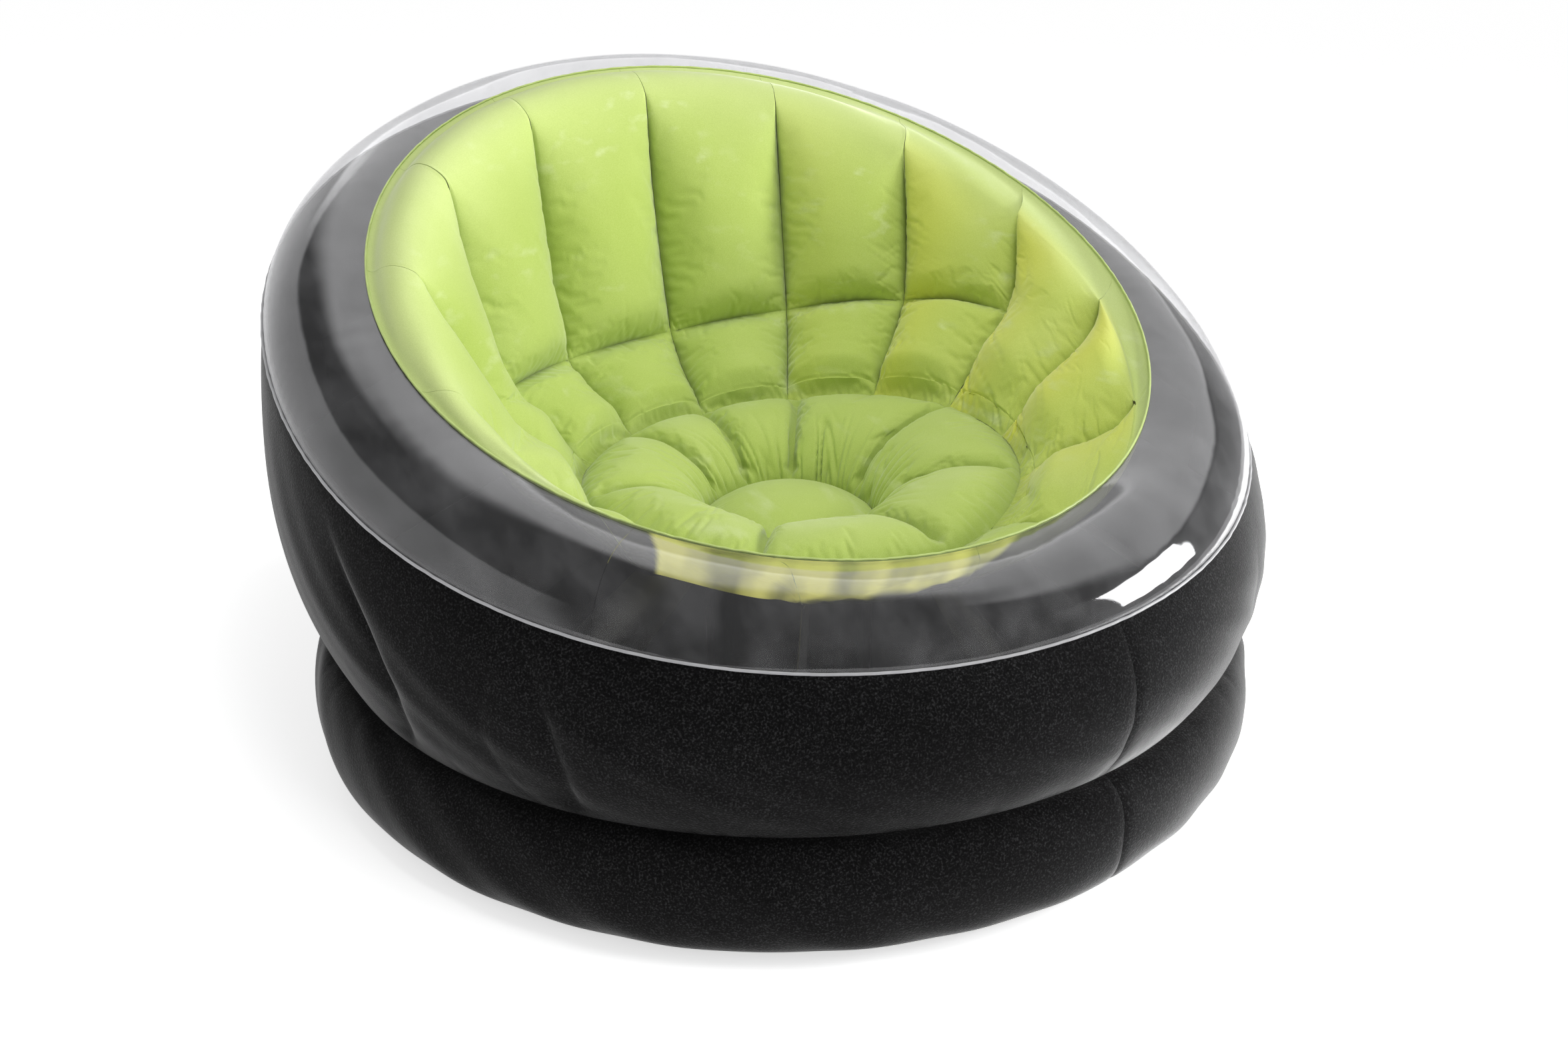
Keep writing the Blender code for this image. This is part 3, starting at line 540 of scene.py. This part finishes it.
def bowl_points(angle, run):
    """Smooth skin of the bowl, with run 0 at the edge, 1 at the band, 2 at the seam and 3 at the foot."""
    edge, band, seam, foot = (ring_at(angle) for ring_at in (EDGE, BAND, SEAM, FOOT))
    # away from the back the sheet is one piece from edge to seat, so it turns there in a wide curve
    round_off = 0.45 * smooth(math.radians(66), math.radians(98), turned_from(angle, BACK_MIDDLE))[:, None]
    seam = seam * (1 - round_off) + (band + foot) * 0.5 * round_off
    lines = (edge, band, seam, foot)
    steps = ((band - edge) * 0.75 + (seam - band) * 0.10, (seam - edge) * 0.42, (foot - band) * 0.40, foot - seam)
    grid = np.zeros((len(angle), len(run), 3))
    for place in range(3):
        pick = (run >= place) & (run <= place + 1)
        share = (run[pick] - place)[None, :, None]
        start, end = lines[place][:, None], lines[place + 1][:, None]
        lead, lag = steps[place][:, None], steps[place + 1][:, None]
        grid[:, pick] = ((2 * share ** 3 - 3 * share ** 2 + 1) * start + (share ** 3 - 2 * share ** 2 + share) * lead
                         + (3 * share ** 2 - 2 * share ** 3) * end + (share ** 3 - share ** 2) * lag)
    return grid


def low_front(angle):
    """1 along the low front, where the sheet drops straight down from the edge, and 0 elsewhere."""
    return 1 - smooth(math.radians(27), math.radians(92), turned_from(angle, LOW_FRONT))


def across_channel(angle):
    """The place across a channel, from 0 at its first seam to 1 at its last."""
    return ((FIRST_WELD - angle) / PITCH) % 1.0


def puff_height(angle, run, seamed):
    """How far the air lifts the sheet between its welds."""
    place = across_channel(angle)
    crown = (4 * place * (1 - place))[:, None]
    lines = [ring_at(angle) for ring_at in (BAND, SEAM, FOOT)]
    height = np.zeros((len(angle), len(run)))
    length = (np.clip(run, 0, 1.6) / 1.6) ** 1.8
    front = low_front(angle)[:, None]
    early = (1.4 * length - 0.4 * length ** 3)[None] * (1 - front) + 0.7 * smooth(1.8, 2.7, run)[None] * front
    gathered = smooth(0.92, 1.75, run)
    if not seamed:
        share = np.clip((run - 1) / 2, 0, 1)
        full = np.minimum(FULLEST_WHOLE, np.linalg.norm(lines[2] - lines[0], axis=-1) * 0.24)[:, None]
        fall = 0.08 + 0.92 * (1 - smooth(0.72, 1.0, share))
        return full * early * fall[None] * crown ** (gathered * (0.80 - 0.25 * smooth(0, 0.5, share)))[None]
    for part, puff in ((0, FULLEST_CHANNEL), (1, FULLEST_PETAL)):
        full = np.minimum(puff, np.linalg.norm(lines[part + 1] - lines[part], axis=-1)[:, None] * 0.26)
        share = np.clip(run - 1 - part, 0, 1)
        if part == 0:
            rise = early
            fall = 0.20 + 0.80 * np.sqrt(np.clip(1 - smooth(0.70, 1.0, share) ** 2, 0, 1))
            power = gathered * (0.80 - 0.24 * smooth(0, 0.6, share))
        else:
            rise = (0.20 + 0.80 * np.sqrt(np.clip(1 - (1 - smooth(0.0, 0.30, share)) ** 2, 0, 1)))[None]
            fall = 0.08 + 0.92 * (1 - smooth(0.70, 0.95, share))
            power = 0.52 + 0 * share
        here = (run <= 2) if part == 0 else (run > 2)
        height += np.where(here[None], full * rise * fall[None] * crown ** power[None], 0)
    return height


def nearest_row(run, place):
    return int(np.argmin(np.abs(run - place)))


def folds(near, along, spacing, reach, depth, seed):
    """Short folds that start square at a weld and die away: near and along are metres from and down the weld."""
    phase = along / spacing + 0.55 * wander(seed, along * 40, near * 30)
    fold = (0.5 + 0.5 * np.cos(math.tau * phase)) ** 2.5
    vary = np.clip(0.45 + 0.65 * wander(seed + 1, along * 55), 0, 1)
    longer = reach * (0.7 + 0.6 * np.clip(wander(seed + 2, along * 90), 0, 1))
    return depth * fold * vary * np.exp(-near / longer) * (1 - np.exp(-near / 0.0025))


def tucks(grid, angle, run, channel, seamed):
    """The sheet gathered by its welds: small folds square to every seam."""
    place = across_channel(angle)[:, None]
    width = np.linalg.norm(grid[..., :2], axis=-1) * PITCH
    down = along_sheet(grid)
    busy = {0: 0.9, 1: 1.1, 2: 1.2, 3: 1.2, 4: 1.1, 12: 0.8, 13: 0.8}.get(channel, 0.7)
    lower = smooth(1.15, 1.75, run)[None] * (1 - 0.6 * smooth(2.8, 3.0, run))[None]
    depth = 0
    beside_seam = 0.0034 * busy * (1 + 0.8 * smooth(1.9, 2.1, run))[None]
    for side, near in ((0, place * width), (1, (1 - place) * width)):
        depth = depth + folds(near, down, 0.015, 0.024, beside_seam, 3.0 * channel + side) * lower
    across = place * width + channel
    if seamed:
        seam_near = np.abs(down - down[:, [nearest_row(run, 2)]])
        depth = depth + folds(seam_near, across, 0.015, 0.012, 0.0024 * busy, 50.0 + channel + (run[0] > 1.5))
    return depth + folds(down[:, -1:] - down, across, 0.019, 0.020, 0.0048, 80.0 + channel)


def bowl_grid(angle, run, channel, seamed):
    """One channel or petal before it is blown up: its skin, puffed, with its tucks and its weld above the seat."""
    wide = np.linspace(angle[0] - 0.02, angle[-1] + 0.02, len(angle))
    normal = facing(bowl_points(wide, run))
    grid = bowl_points(angle, run) + normal * puff_height(angle, run, seamed)[..., None]
    place = across_channel(angle)
    inside = smooth(0, 0.03, np.minimum(place, 1 - place))[:, None]
    soft = 0.0007 * wander(5, angle[:, None] * 4, run[None] * 2) * smooth(0, 0.3, run)[None]
    weld = -0.0010 * np.exp(-((run - SEAT_WELD) / 0.007) ** 2)[None]
    return grid + normal * ((soft + weld) * inside - tucks(grid, angle, run, channel, seamed))[..., None]


def bowl_wear_and_painted_light(grid, angle, run, channel, seamed):
    """Marks on the sheet: pale wear along the band, painted shade in the welds, a painted yellow glow of light through
    the sheet, and where light comes in, for the painted glow on the back.
    """
    worn = (1 - smooth(0.5, 1.5, run))[None] + 0 * angle[:, None]
    place = across_channel(angle)[:, None]
    width = np.linalg.norm(grid[..., :2], axis=-1) * PITCH
    # painted shade along the seams, towards the foot and at the weld above the seat
    painted_shade = np.exp(-np.minimum(place, 1 - place) * width / 0.0035) * smooth(0.95, 1.35, run)[None]
    down = along_sheet(grid)
    painted_shade = np.maximum(painted_shade, np.exp(-(down[:, -1:] - down) / 0.014) if run[-1] > 2.5 else 0)
    if seamed:
        weld = down[:, [nearest_row(run, 2)]]
        painted_shade = np.maximum(painted_shade, np.exp(-np.abs(down - weld) / 0.0028))
    # a painted yellow glow of light through the sheet, strongest beside the first seam of the right-front channels
    glow_share = {1: 0.20, 2: 0.62, 3: 0.88, 4: 0.92, 5: 0.55}.get(channel, 0.0)
    painted_glow = glow_share * (1 - 0.75 * smooth(0.05, 0.80, place)) * smooth(0.6, 1.2, run)
    # the light comes in above a slanting line across the low front, and everywhere behind it; the back paints this as a
    # glow at the front and as shade where it does not come in
    slant = grid @ np.array((0.17, 0.39, 1.0))
    aside = grid @ np.array((0.92, -0.40, 0.0))
    line = np.interp(aside, (-0.116, -0.006, 0.059, 0.128, 0.174, 0.204, 0.225),
                     (0.128, 0.121, 0.125, 0.133, 0.148, 0.170, 0.190))
    shines = smooth(-0.002, 0.005, slant - line) * smooth(-0.119, -0.113, aside) * (1 - smooth(0.205, 0.235, aside))
    shines = np.maximum(shines, smooth(-0.12, 0.05, grid[..., 1]))
    return np.stack((worn, painted_shade, painted_glow, shines), -1)


def make_bowl():
    """All channels and petals, each blown up on its own."""
    upper = np.concatenate(((0, 0.15, 0.30, 0.44, 0.57, 0.68, 0.77, 0.84, 0.895, 0.935, 0.97), np.linspace(1, 2, 52)))
    lower = np.unique(np.concatenate((np.linspace(2, 3, 32), SEAT_WELD + np.array((-0.012, 0, 0.012)))))
    # the columns stand closer together by the seams
    spread = 0.5 - 0.5 * np.cos(np.linspace(0, np.pi, 48))
    spread = 0.5 * spread + 0.5 * np.linspace(0, 1, 48)
    trim = GAP / 2 / CHANNEL_RADIUS
    for channel in range(CHANNELS):
        seamed = channel in SEAMED
        angle = FIRST_WELD - (channel + 1) * PITCH + trim + (PITCH - 2 * trim) * spread
        number = f"{channel + 1:02d}"
        if seamed:
            pieces = (("bowl_channel_", upper, CHANNEL_SPARE), ("bowl_petal_", lower, PETAL_SPARE))
        else:
            pieces = (("bowl_channel_", np.concatenate((upper, lower[1:])), WHOLE_SPARE),)
        for kind, run, spare in pieces:
            grid = bowl_grid(angle, run, channel, seamed)
            welds = np.zeros(grid.shape[:2], bool)
            welds[[0, -1]] = True
            welds[:, [0, -1]] = True
            blown = inflated(grid, welds, spare, MOST_MOVE)
            below_band = smooth(0.9, 1.6, run)[None, :, None]
            marks = refined(bowl_wear_and_painted_light(grid, angle, run, channel, seamed))
            grid = refined(grid + (blown - grid) * below_band)
            made = shell(kind + number, grid, FLOCKED, GREEN, GREEN_BACK, marks=marks)


def make_webs():
    """Dark webs that pull the channel seams out towards the wall."""
    behind_bowl, behind_wall = 0.0045, 0.0035
    for channel in range(CHANNELS):
        angle = np.array([FIRST_WELD - channel * PITCH])
        run = np.linspace(1.4 + 0.5 * low_front(angle)[0], 3, 30)
        around = np.linspace(angle[0] - .05, angle[0] + .05, 5)
        inner = bowl_points(angle, run)[0] - facing(bowl_points(around, run))[2] * behind_bowl
        wall = wall_points(angle, np.linspace(0.62, 0.06, 30))[0] - outward(angle) * behind_wall
        side = np.array((-math.sin(angle[0]), math.cos(angle[0]), 0.0))
        share = np.linspace(0, 1, 9)[:, None, None]
        grid = inner[None] * (1 - share) + wall[None] * share
        wave = 0.003 * np.sin(share * math.pi) * np.sin(np.linspace(0, 9, 30) + channel)[None, :, None]
        grid = grid + side * (wave + WEB / 2)
        number = f"{channel + 1:02d}"
        shell("channel_web_" + number, grid, WEB, DARK_WEB)


# ---- the seat ----

def make_seat():
    """The lobed seat ring, blown up, and the domed button inside it."""
    angle = np.linspace(0, math.tau, 385)[:-1]
    share = np.linspace(0, 1, 36)
    lobes = np.zeros(len(angle))
    near = np.full(len(angle), 9.0)
    for first, last in zip(LOBE_SEAMS, np.append(LOBE_SEAMS[1:], LOBE_SEAMS[0] + math.tau)):
        place = ((angle - first) % math.tau) / (last - first)
        inside = place < 1
        lobes = np.where(inside, (4 * place * (1 - place)).clip(0) ** 0.45, lobes)
        near = np.where(inside, np.minimum(place, 1 - place) * (last - first) * 0.17, near)
    bulge = 0.030 + 0.012 * lobes
    grid = chord(FOOT, BUTTON, bulge, angle, share, 0.52 + 0.26 * share[None, :, None])
    normal = facing(grid, True)
    turn = angle[:, None]
    reach = smooth(0.30, 1.0, share)[None] * (0.55 + 0.45 * wander(7, turn * 6, share[None]))
    gathers = 0.0062 * pleats(turn, 22, 2.5, 1.4, 6, turn * 5, share[None] * 2) * reach
    outer = 0.0016 * pleats(turn, 41, 2, 1.5, 8, turn * 7)
    gathers += outer * np.exp(-share / 0.10)[None] * (1 - np.exp(-share / 0.02))[None]
    seam = 0.0100 * np.exp(-near / 0.005)[:, None] * smooth(0.02, 0.12, share)[None] * smooth(1.0, 0.9, share)[None]
    ends = (np.minimum(share, 1 - share) > 0)[None]
    grid = grid - normal * ((gathers + seam) * ends)[..., None]
    welds = np.zeros(grid.shape[:2], bool)
    welds[:, [0, -1]] = True
    welds[turned_from(turn, LOBE_SEAMS[None]).argmin(0)] = True
    # painted shade at the lobe welds, at both weld lines and in the gathers; light comes in all round for the back's
    # painted glow
    painted_shade = np.maximum(np.exp(-near / 0.006)[:, None], np.exp(-share / 0.060)[None])
    painted_shade = np.maximum(np.maximum(painted_shade, np.exp(-(1 - share) / 0.05)[None]), np.clip(gathers / 0.0062, 0, 1) * 0.5)
    marks = refined(np.stack((0 * painted_shade, painted_shade, 0 * painted_shade, 0 * painted_shade + 1), -1), wrap=True)
    grid = refined(inflated(grid, welds, 0.018, 0.009, wrap=True), wrap=True)
    made = shell("seat_ring", grid, FLOCKED, GREEN, GREEN_BACK, wrap=True, marks=marks)

    angle = np.linspace(0, math.tau, 513)[:-1]
    share = np.linspace(0, 1, 40)
    turn = angle[:, None]
    radius = BUTTON_RADIUS * (1 - share)
    height = 0.220 + 0.030 * (1 - (1 - share) ** 2.6)
    grid = outward(angle)[:, None] * radius[None, :, None] + BUTTON_CENTRE + UP * height[None, :, None]
    pucker = 0.0022 * pleats(turn, 17, 2, 1.3, 9, turn * 4)
    grid = grid - UP * (pucker * np.exp(-share / 0.13)[None] * smooth(0, 0.03, share)[None])[..., None]
    made = shell("seat_button", grid, FLOCKED, GREEN, GREEN_BACK, wrap=True, pole=True)


# ---- the dark outside ----

def wall_points(angle, share):
    """The smooth outer wall, from the waist crease up to the rim's weld."""
    return chord(CREASE, WELD, 0.029, angle, share)


def wall_grid(angle, share):
    """One wall panel with its folds, its gathers at the waist and its upright welds."""
    grid = wall_points(angle, share)
    normal = facing(grid)
    dent = np.zeros((len(angle), len(share)))
    for where, depth, width, bend in FOLDS:
        line = math.radians(where) + bend * (share[None] - 0.35) ** 2
        off = ((angle[:, None] - line + math.pi) % math.tau - math.pi) * WALL_RADIUS
        sides = np.where(off > 0, np.exp(-np.abs(off) / width), np.exp(-np.abs(off) / (width * 2.4)))
        fade = smooth(0.0, 0.10, share) * (1 - smooth(0.55, 0.98, share))
        dent += depth * sides * fade[None]
    dent += 0.0009 * wander(11, angle[:, None] * 8, share[None] * 5) * (4 * share * (1 - share))[None]
    turn = angle[:, None]
    dent += 0.0022 * pleats(turn, 23, 2, 1.5, 12, turn * 5) * np.exp(-share / 0.10)[None]
    dent += weld_dip(angle, 0.0014)
    ends = (4 * share * (1 - share)).clip(0, 1) ** 0.5
    grid = grid - normal * (dent * ends[None])[..., None]
    return flat_by_valve(grid)


def weld_dip(angle, depth):
    """The dip along the upright weld at both ends of a panel."""
    return depth * (np.exp(-(angle - angle[0]) / 0.008) + np.exp(-(angle[-1] - angle) / 0.008))[:, None]


def flat_by_valve(grid):
    """Lays the wall flat under the valve's collar."""
    apart = grid - VALVE_AT
    out = apart @ VALVE_OUT
    beside = np.linalg.norm(apart - out[..., None] * VALVE_OUT, axis=-1)
    hold = (1 - smooth(0.034, 0.075, beside)) * (np.abs(out) < 0.05)
    return grid - VALVE_OUT * ((out + 0.0001) * hold)[..., None]


def base_points(angle, rows):
    """The base ring's round side, from the floor up to the waist crease."""
    turn = np.linspace(0, math.pi, rows)
    inset = 0.048 + (0.032 - 0.048) * np.linspace(0, 1, rows)
    reach = WALL_RADIUS - inset * (1 - np.sin(turn).clip(0) ** 0.8)
    grid = outward(angle)[:, None] * reach[None, :, None]
    grid[..., 2] = CREASE(angle)[:, 2:] * (1 - np.cos(turn))[None] / 2
    return grid


def rim_points(angle, share):
    """The clear rim, roundest at its outer side and nearly straight where it meets the bowl."""
    bow = 0.0260 * (share ** 0.85 * (1 - share) ** 1.05) / 0.27
    return bowed(WELD(angle), EDGE(angle), angle, share, bow[None, :, None])


def make_outside():
    """The walls, the rim, and the sheets underneath and inside."""
    trim = GAP / 2 / WALL_RADIUS
    share = np.linspace(0, 1, 64)
    for side, start in (("right", WALL_SEAM), ("left", WALL_SEAM - math.pi)):
        angle = np.linspace(start + trim, start + math.pi - trim, 420)
        grid = wall_grid(angle, share)
        made = shell("outer_wall_" + side, grid, FLOCKED, DARK, DARK_BACK)
        if side == "right":
            cut_hole(made)
        grid = base_points(angle, 44)
        normal = facing(grid)
        up = np.linspace(0, 1, 44)
        turn = angle[:, None]
        dent = 0.0016 * pleats(turn, 29, 2, 1.5, 13, turn * 5) * np.exp(-(1 - up) / 0.12)[None]
        dent = dent + 0.0012 * wander(14, turn * 7, up[None] * 3)
        dent = (dent + weld_dip(angle, 0.0012)) * (smooth(0, 0.3, up) * (1 - smooth(0.9, 1, up)))[None]
        made = shell("base_wall_" + side, grid - normal * dent[..., None], FLOCKED, DARK, DARK_BACK)
    for side, start in (("right", RIM_SEAM), ("left", RIM_SEAM - math.pi)):
        angle = np.linspace(start + trim, start + math.pi - trim, 420)
        share = np.linspace(0.002, 0.998, 56)
        grid = rim_points(angle, share)
        normal = facing(grid)
        crown = (4 * share * (1 - share))[None]
        turn = angle[:, None]
        wavy = 0.0006 * wander(15, turn * 3, share[None] * 2)
        inner = np.sin(turn * 70 + 5 * wander(16, turn * 4)) * np.exp(-(1 - share) / 0.12)[None]
        outer = np.sin(turn * 90 + 6 * wander(17, turn * 4)) * np.exp(-share / 0.12)[None]
        lift = (wavy + (0.0002 * inner + 0.0002 * outer)) * crown ** 0.5
        made = shell("rim_band_" + side, grid + normal * lift[..., None], CLEAR, FILM)
    angle = np.linspace(0, math.tau, 281)[:-1]
    share = np.linspace(0, 1, 12)
    grid = outward(angle)[:, None] * (FLOOR_RADIUS * (1 - share))[None, :, None]
    made = shell("floor_panel", grid * (1.0, 1.0, 0.0), -FLOCKED, DARK, DARK_BACK, wrap=True, pole=True)

    level = CREASE(angle)[:, 2] + WEB / 2
    inner = outward(angle)[:, None] * (0.5065 - 0.2 * share)[None, :, None] + UP * level[:, None, None]
    shell("waist_diaphragm", inner[:, ::-1], WEB, DARK_WEB, wrap=True)

    rows = np.linspace(0.0015, 0.2185, 20)
    wave = 0.0015 * np.sin(angle[:, None] * 16) * np.sin(math.pi * np.linspace(0, 1, 20))[None]
    tube = outward(angle)[:, None] * (0.0984 + wave)[..., None] + BUTTON_CENTRE
    tube[..., 2] = rows[None]
    shell("seat_tie_column", tube, WEB, DARK_WEB, wrap=True)


def cut_hole(wall):
    """The round hole for the valve's collar."""
    shape = bmesh.new()
    place = Matrix.Translation(VALVE_AT) @ Vector(VALVE_OUT).to_track_quat("Z", "Y").to_matrix().to_4x4()
    bmesh.ops.create_cone(shape, cap_ends=True, segments=48, radius1=VALVE_HOLE, radius2=VALVE_HOLE, depth=0.04,
                          matrix=place)
    mesh = bpy.data.meshes.new("valve_hole")
    shape.to_mesh(mesh)
    shape.free()
    cutter = bpy.data.objects.new("valve_hole", mesh)
    bpy.context.scene.collection.objects.link(cutter)
    cut = wall.modifiers.new("valve_hole", "BOOLEAN")
    cut.object = cutter
    cut.solver = "EXACT"
    done = bpy.data.meshes.new_from_object(wall.evaluated_get(bpy.context.evaluated_depsgraph_get()))
    wall.modifiers.clear()
    wall.data = done
    bpy.data.objects.remove(cutter, do_unlink=True)


# ---- welded edges, swept along their lines ----

def swept_bead(name, node, points, radius, material):
    """A welded edge: one round bead swept round a closed line."""
    line = bpy.data.meshes.new(name + "_line")
    count = len(points)
    line.from_pydata(points.tolist(), [(i, (i + 1) % count) for i in range(count)], [])
    made = bpy.data.objects.new(name, line)
    bpy.context.scene.collection.objects.link(made)
    tree = bpy.data.node_groups.new(name + "_sweep", "GeometryNodeTree")
    tree.interface.new_socket("Geometry", in_out="INPUT", socket_type="NodeSocketGeometry")
    radius_input = tree.interface.new_socket("Bead radius", in_out="INPUT", socket_type="NodeSocketFloat")
    sides_input = tree.interface.new_socket("Sides", in_out="INPUT", socket_type="NodeSocketInt")
    finish_input = tree.interface.new_socket("Finish", in_out="INPUT", socket_type="NodeSocketMaterial")
    tree.interface.new_socket("Geometry", in_out="OUTPUT", socket_type="NodeSocketGeometry")
    nodes, link = tree.nodes, tree.links.new
    start, end = nodes.new("NodeGroupInput"), nodes.new("NodeGroupOutput")
    curve, circle = nodes.new("GeometryNodeMeshToCurve"), nodes.new("GeometryNodeCurvePrimitiveCircle")
    tube, whole, finish = (nodes.new("GeometryNode" + kind)
                           for kind in ("CurveToMesh", "RealizeInstances", "SetMaterial"))
    link(start.outputs["Geometry"], curve.inputs["Mesh"])
    link(start.outputs["Bead radius"], circle.inputs["Radius"])
    link(start.outputs["Sides"], circle.inputs["Resolution"])
    link(curve.outputs["Curve"], tube.inputs["Curve"])
    link(circle.outputs["Curve"], tube.inputs["Profile Curve"])
    link(tube.outputs["Mesh"], whole.inputs["Geometry"])
    link(whole.outputs["Geometry"], finish.inputs["Geometry"])
    link(start.outputs["Finish"], finish.inputs["Material"])
    link(finish.outputs["Geometry"], end.inputs["Geometry"])
    swept = made.modifiers.new("sweep", "NODES")
    swept.node_group = tree
    swept[radius_input.identifier] = radius
    swept[sides_input.identifier] = 10
    swept[finish_input.identifier] = material
    mesh = bpy.data.meshes.new_from_object(made.evaluated_get(bpy.context.evaluated_depsgraph_get()))
    bpy.data.objects.remove(made, do_unlink=True)
    shape = bmesh.new()
    shape.from_mesh(mesh)
    bmesh.ops.recalc_face_normals(shape, faces=shape.faces)
    if shape.calc_volume(signed=True) < 0:
        bmesh.ops.reverse_faces(shape, faces=shape.faces)
    shape.to_mesh(mesh)
    shape.free()
    mesh.materials.clear()
    return finished(name, mesh, node, [material])


def make_welds():
    """The rim's weld to the wall, and the bright edge of the bowl."""
    angle = np.linspace(0, math.tau, 721)[:-1]
    rim = rim_points(angle, np.array((0.0, 1.0)))
    near = facing(rim_points(angle, np.linspace(0, 1, 40)), True)
    wobble = 0.0003 * wander(18, angle * 40)[:, None]
    weld = rim[:, 0] + near[:, 0] * (0.0008 + wobble)
    swept_bead("rim_weld_bead", "rim_weld_flange", weld, 0.0014, WELD_CLEAR)
    edge = rim[:, 1] + near[:, -1] * (0.0010 + wobble)
    swept_bead("bowl_edge_bead", "bowl_edge_flange", edge, 0.0012, WELD_GREEN)


def finish_valve():
    """The valve keeps its solids, with plastic and rubber on them."""
    finishes = {"valve_collar": VALVE_PLASTIC, "valve_stopper": VALVE_PLASTIC, "valve_cap": CAP_PLASTIC,
                "valve_flap": FLAP_RUBBER}
    for node, material in finishes.items():
        for slot in frame["nodes"][node].material_slots:
            slot.material = material


# ---- floor, light and camera ----

def softbox(name, place, aim, width, height, power, shown=True):
    """A flat light that no camera sees, and gloss only where it is shown."""
    light = bpy.data.lights.new(name, "AREA")
    light.shape = "RECTANGLE"
    light.size, light.size_y = width, height
    light.energy = power
    made = bpy.data.objects.new(name, light)
    bpy.context.scene.collection.objects.link(made)
    made.location = place
    made.rotation_euler = (Vector(aim) - Vector(place)).to_track_quat("-Z", "Y").to_euler()
    made.visible_camera = False
    made.visible_glossy = shown


def studio_window(tree, way, towards, half_width, side_blur, low, high, top_blur, strength):
    """A bright part of the studio as gloss shows it: degrees round the chair, and heights as sines."""
    turned = tree.nodes.new("ShaderNodeVectorRotate")
    turned.rotation_type = "Z_AXIS"
    turned.inputs["Angle"].default_value = -math.radians(towards)
    tree.links.new(way, turned.inputs["Vector"])
    parts = tree.nodes.new("ShaderNodeSeparateXYZ")
    tree.links.new(turned.outputs["Vector"], parts.inputs["Vector"])
    aside = calculated(tree, "ABSOLUTE", calculated(tree, "ARCTAN2", parts.outputs["Y"], parts.outputs["X"]))
    beside = eased(tree, calculated(tree, "SUBTRACT", math.radians(half_width), aside), 0.0, math.radians(side_blur))
    above = eased(tree, parts.outputs["Z"], low, low + 0.05)
    under = eased(tree, calculated(tree, "SUBTRACT", high, parts.outputs["Z"]), 0.0, top_blur)
    shape = calculated(tree, "MULTIPLY", calculated(tree, "MULTIPLY", beside, above), under)
    return calculated(tree, "MULTIPLY", shape, strength)


def make_studio():
    """The white paper floor, the even light all round, the bright windows and the softboxes."""
    mesh = bpy.data.meshes.new("studio_floor")
    far = 45.0
    mesh.from_pydata([(-far, -far, 0), (far, -far, 0), (far, far, 0), (-far, far, 0)], [], [(0, 1, 2, 3)])
    floor = bpy.data.objects.new("studio_floor", mesh)
    bpy.context.scene.collection.objects.link(floor)
    paint = bpy.data.materials.new("studio_paper")
    paint.use_nodes = True
    looks = {"Base Color": (0.9, 0.9, 0.9, 1), "Roughness": 1.0, "Specular IOR Level": 0.0,
             "Emission Color": (1, 1, 1, 1), "Emission Strength": 0.60}
    for socket, value in looks.items():
        paint.node_tree.nodes["Principled BSDF"].inputs[socket].default_value = value
    mesh.materials.append(paint)

    world = bpy.data.worlds.new("studio")
    bpy.context.scene.world = world
    world.use_nodes = True
    tree = world.node_tree
    tree.nodes.clear()
    output = tree.nodes.new("ShaderNodeOutputWorld")
    path = tree.nodes.new("ShaderNodeLightPath")
    mix = tree.nodes.new("ShaderNodeMixShader")
    soft, dark = tree.nodes.new("ShaderNodeBackground"), tree.nodes.new("ShaderNodeBackground")
    soft.inputs["Color"].default_value = (1, 1, 1, 1)
    way = tree.nodes.new("ShaderNodeTexCoord").outputs["Generated"]
    seen = 0.07
    for window in WINDOWS:
        seen = calculated(tree, "ADD", studio_window(tree, way, *window), seen)
    tree.links.new(seen, dark.inputs["Color"])
    dark.inputs["Strength"].default_value = 1.0
    tree.links.new(path.outputs["Is Glossy Ray"], mix.inputs["Fac"])
    strength = calculated(tree, "MULTIPLY", path.outputs["Is Camera Ray"], 0.52)
    tree.links.new(calculated(tree, "ADD", strength, 0.44), soft.inputs["Strength"])
    tree.links.new(soft.outputs["Background"], mix.inputs[1])
    tree.links.new(dark.outputs["Background"], mix.inputs[2])
    tree.links.new(mix.outputs["Shader"], output.inputs["Surface"])

    softbox("main_softbox", (2.58, -1.48, 1.14), (0, 0, 0.35), 1.1, 1.1, 52)
    softbox("upper_softbox", (0.4, -0.8, 2.9), (0, 0, 0.3), 1.6, 1.2, 40, shown=False)
    softbox("side_softbox", (3.2, -0.1, 0.28), (0.4, 0, 0.2), 0.9, 0.4, 165, shown=False)
    softbox("front_softbox", (2.5, -2.1, 0.42), (0.3, -0.2, 0.25), 0.9, 0.6, 10, shown=False)
    softbox("left_fill", (-2.6, -0.6, 1.6), (0, 0, 0.3), 1.0, 1.6, 3, shown=False)


def make_camera():
    """The camera of the photo, as its fit gave it."""
    turn, tilt = math.radians(-23.60), math.radians(23.18)
    right = Vector((math.cos(turn), math.sin(turn), 0))
    back = Vector((math.sin(turn) * math.cos(tilt), -math.cos(turn) * math.cos(tilt), math.sin(tilt)))
    above = back.cross(right)
    place = right * 0.0135 + Vector((0, 0.0255, 0.1912)) + back * 1.6796
    camera = bpy.data.cameras.new("camera")
    camera.lens = 32.3097
    camera.sensor_width = 36
    camera.clip_end = 200
    made = bpy.data.objects.new("camera", camera)
    bpy.context.scene.collection.objects.link(made)
    spin = Matrix((right, above, back)).transposed().to_4x4()
    spin.translation = place
    made.matrix_world = spin
    bpy.context.scene.camera = made
    bpy.context.scene.view_settings.view_transform = "Standard"


make_camera()
make_studio()
make_bowl()
make_webs()
make_seat()
make_outside()
make_welds()
finish_valve()
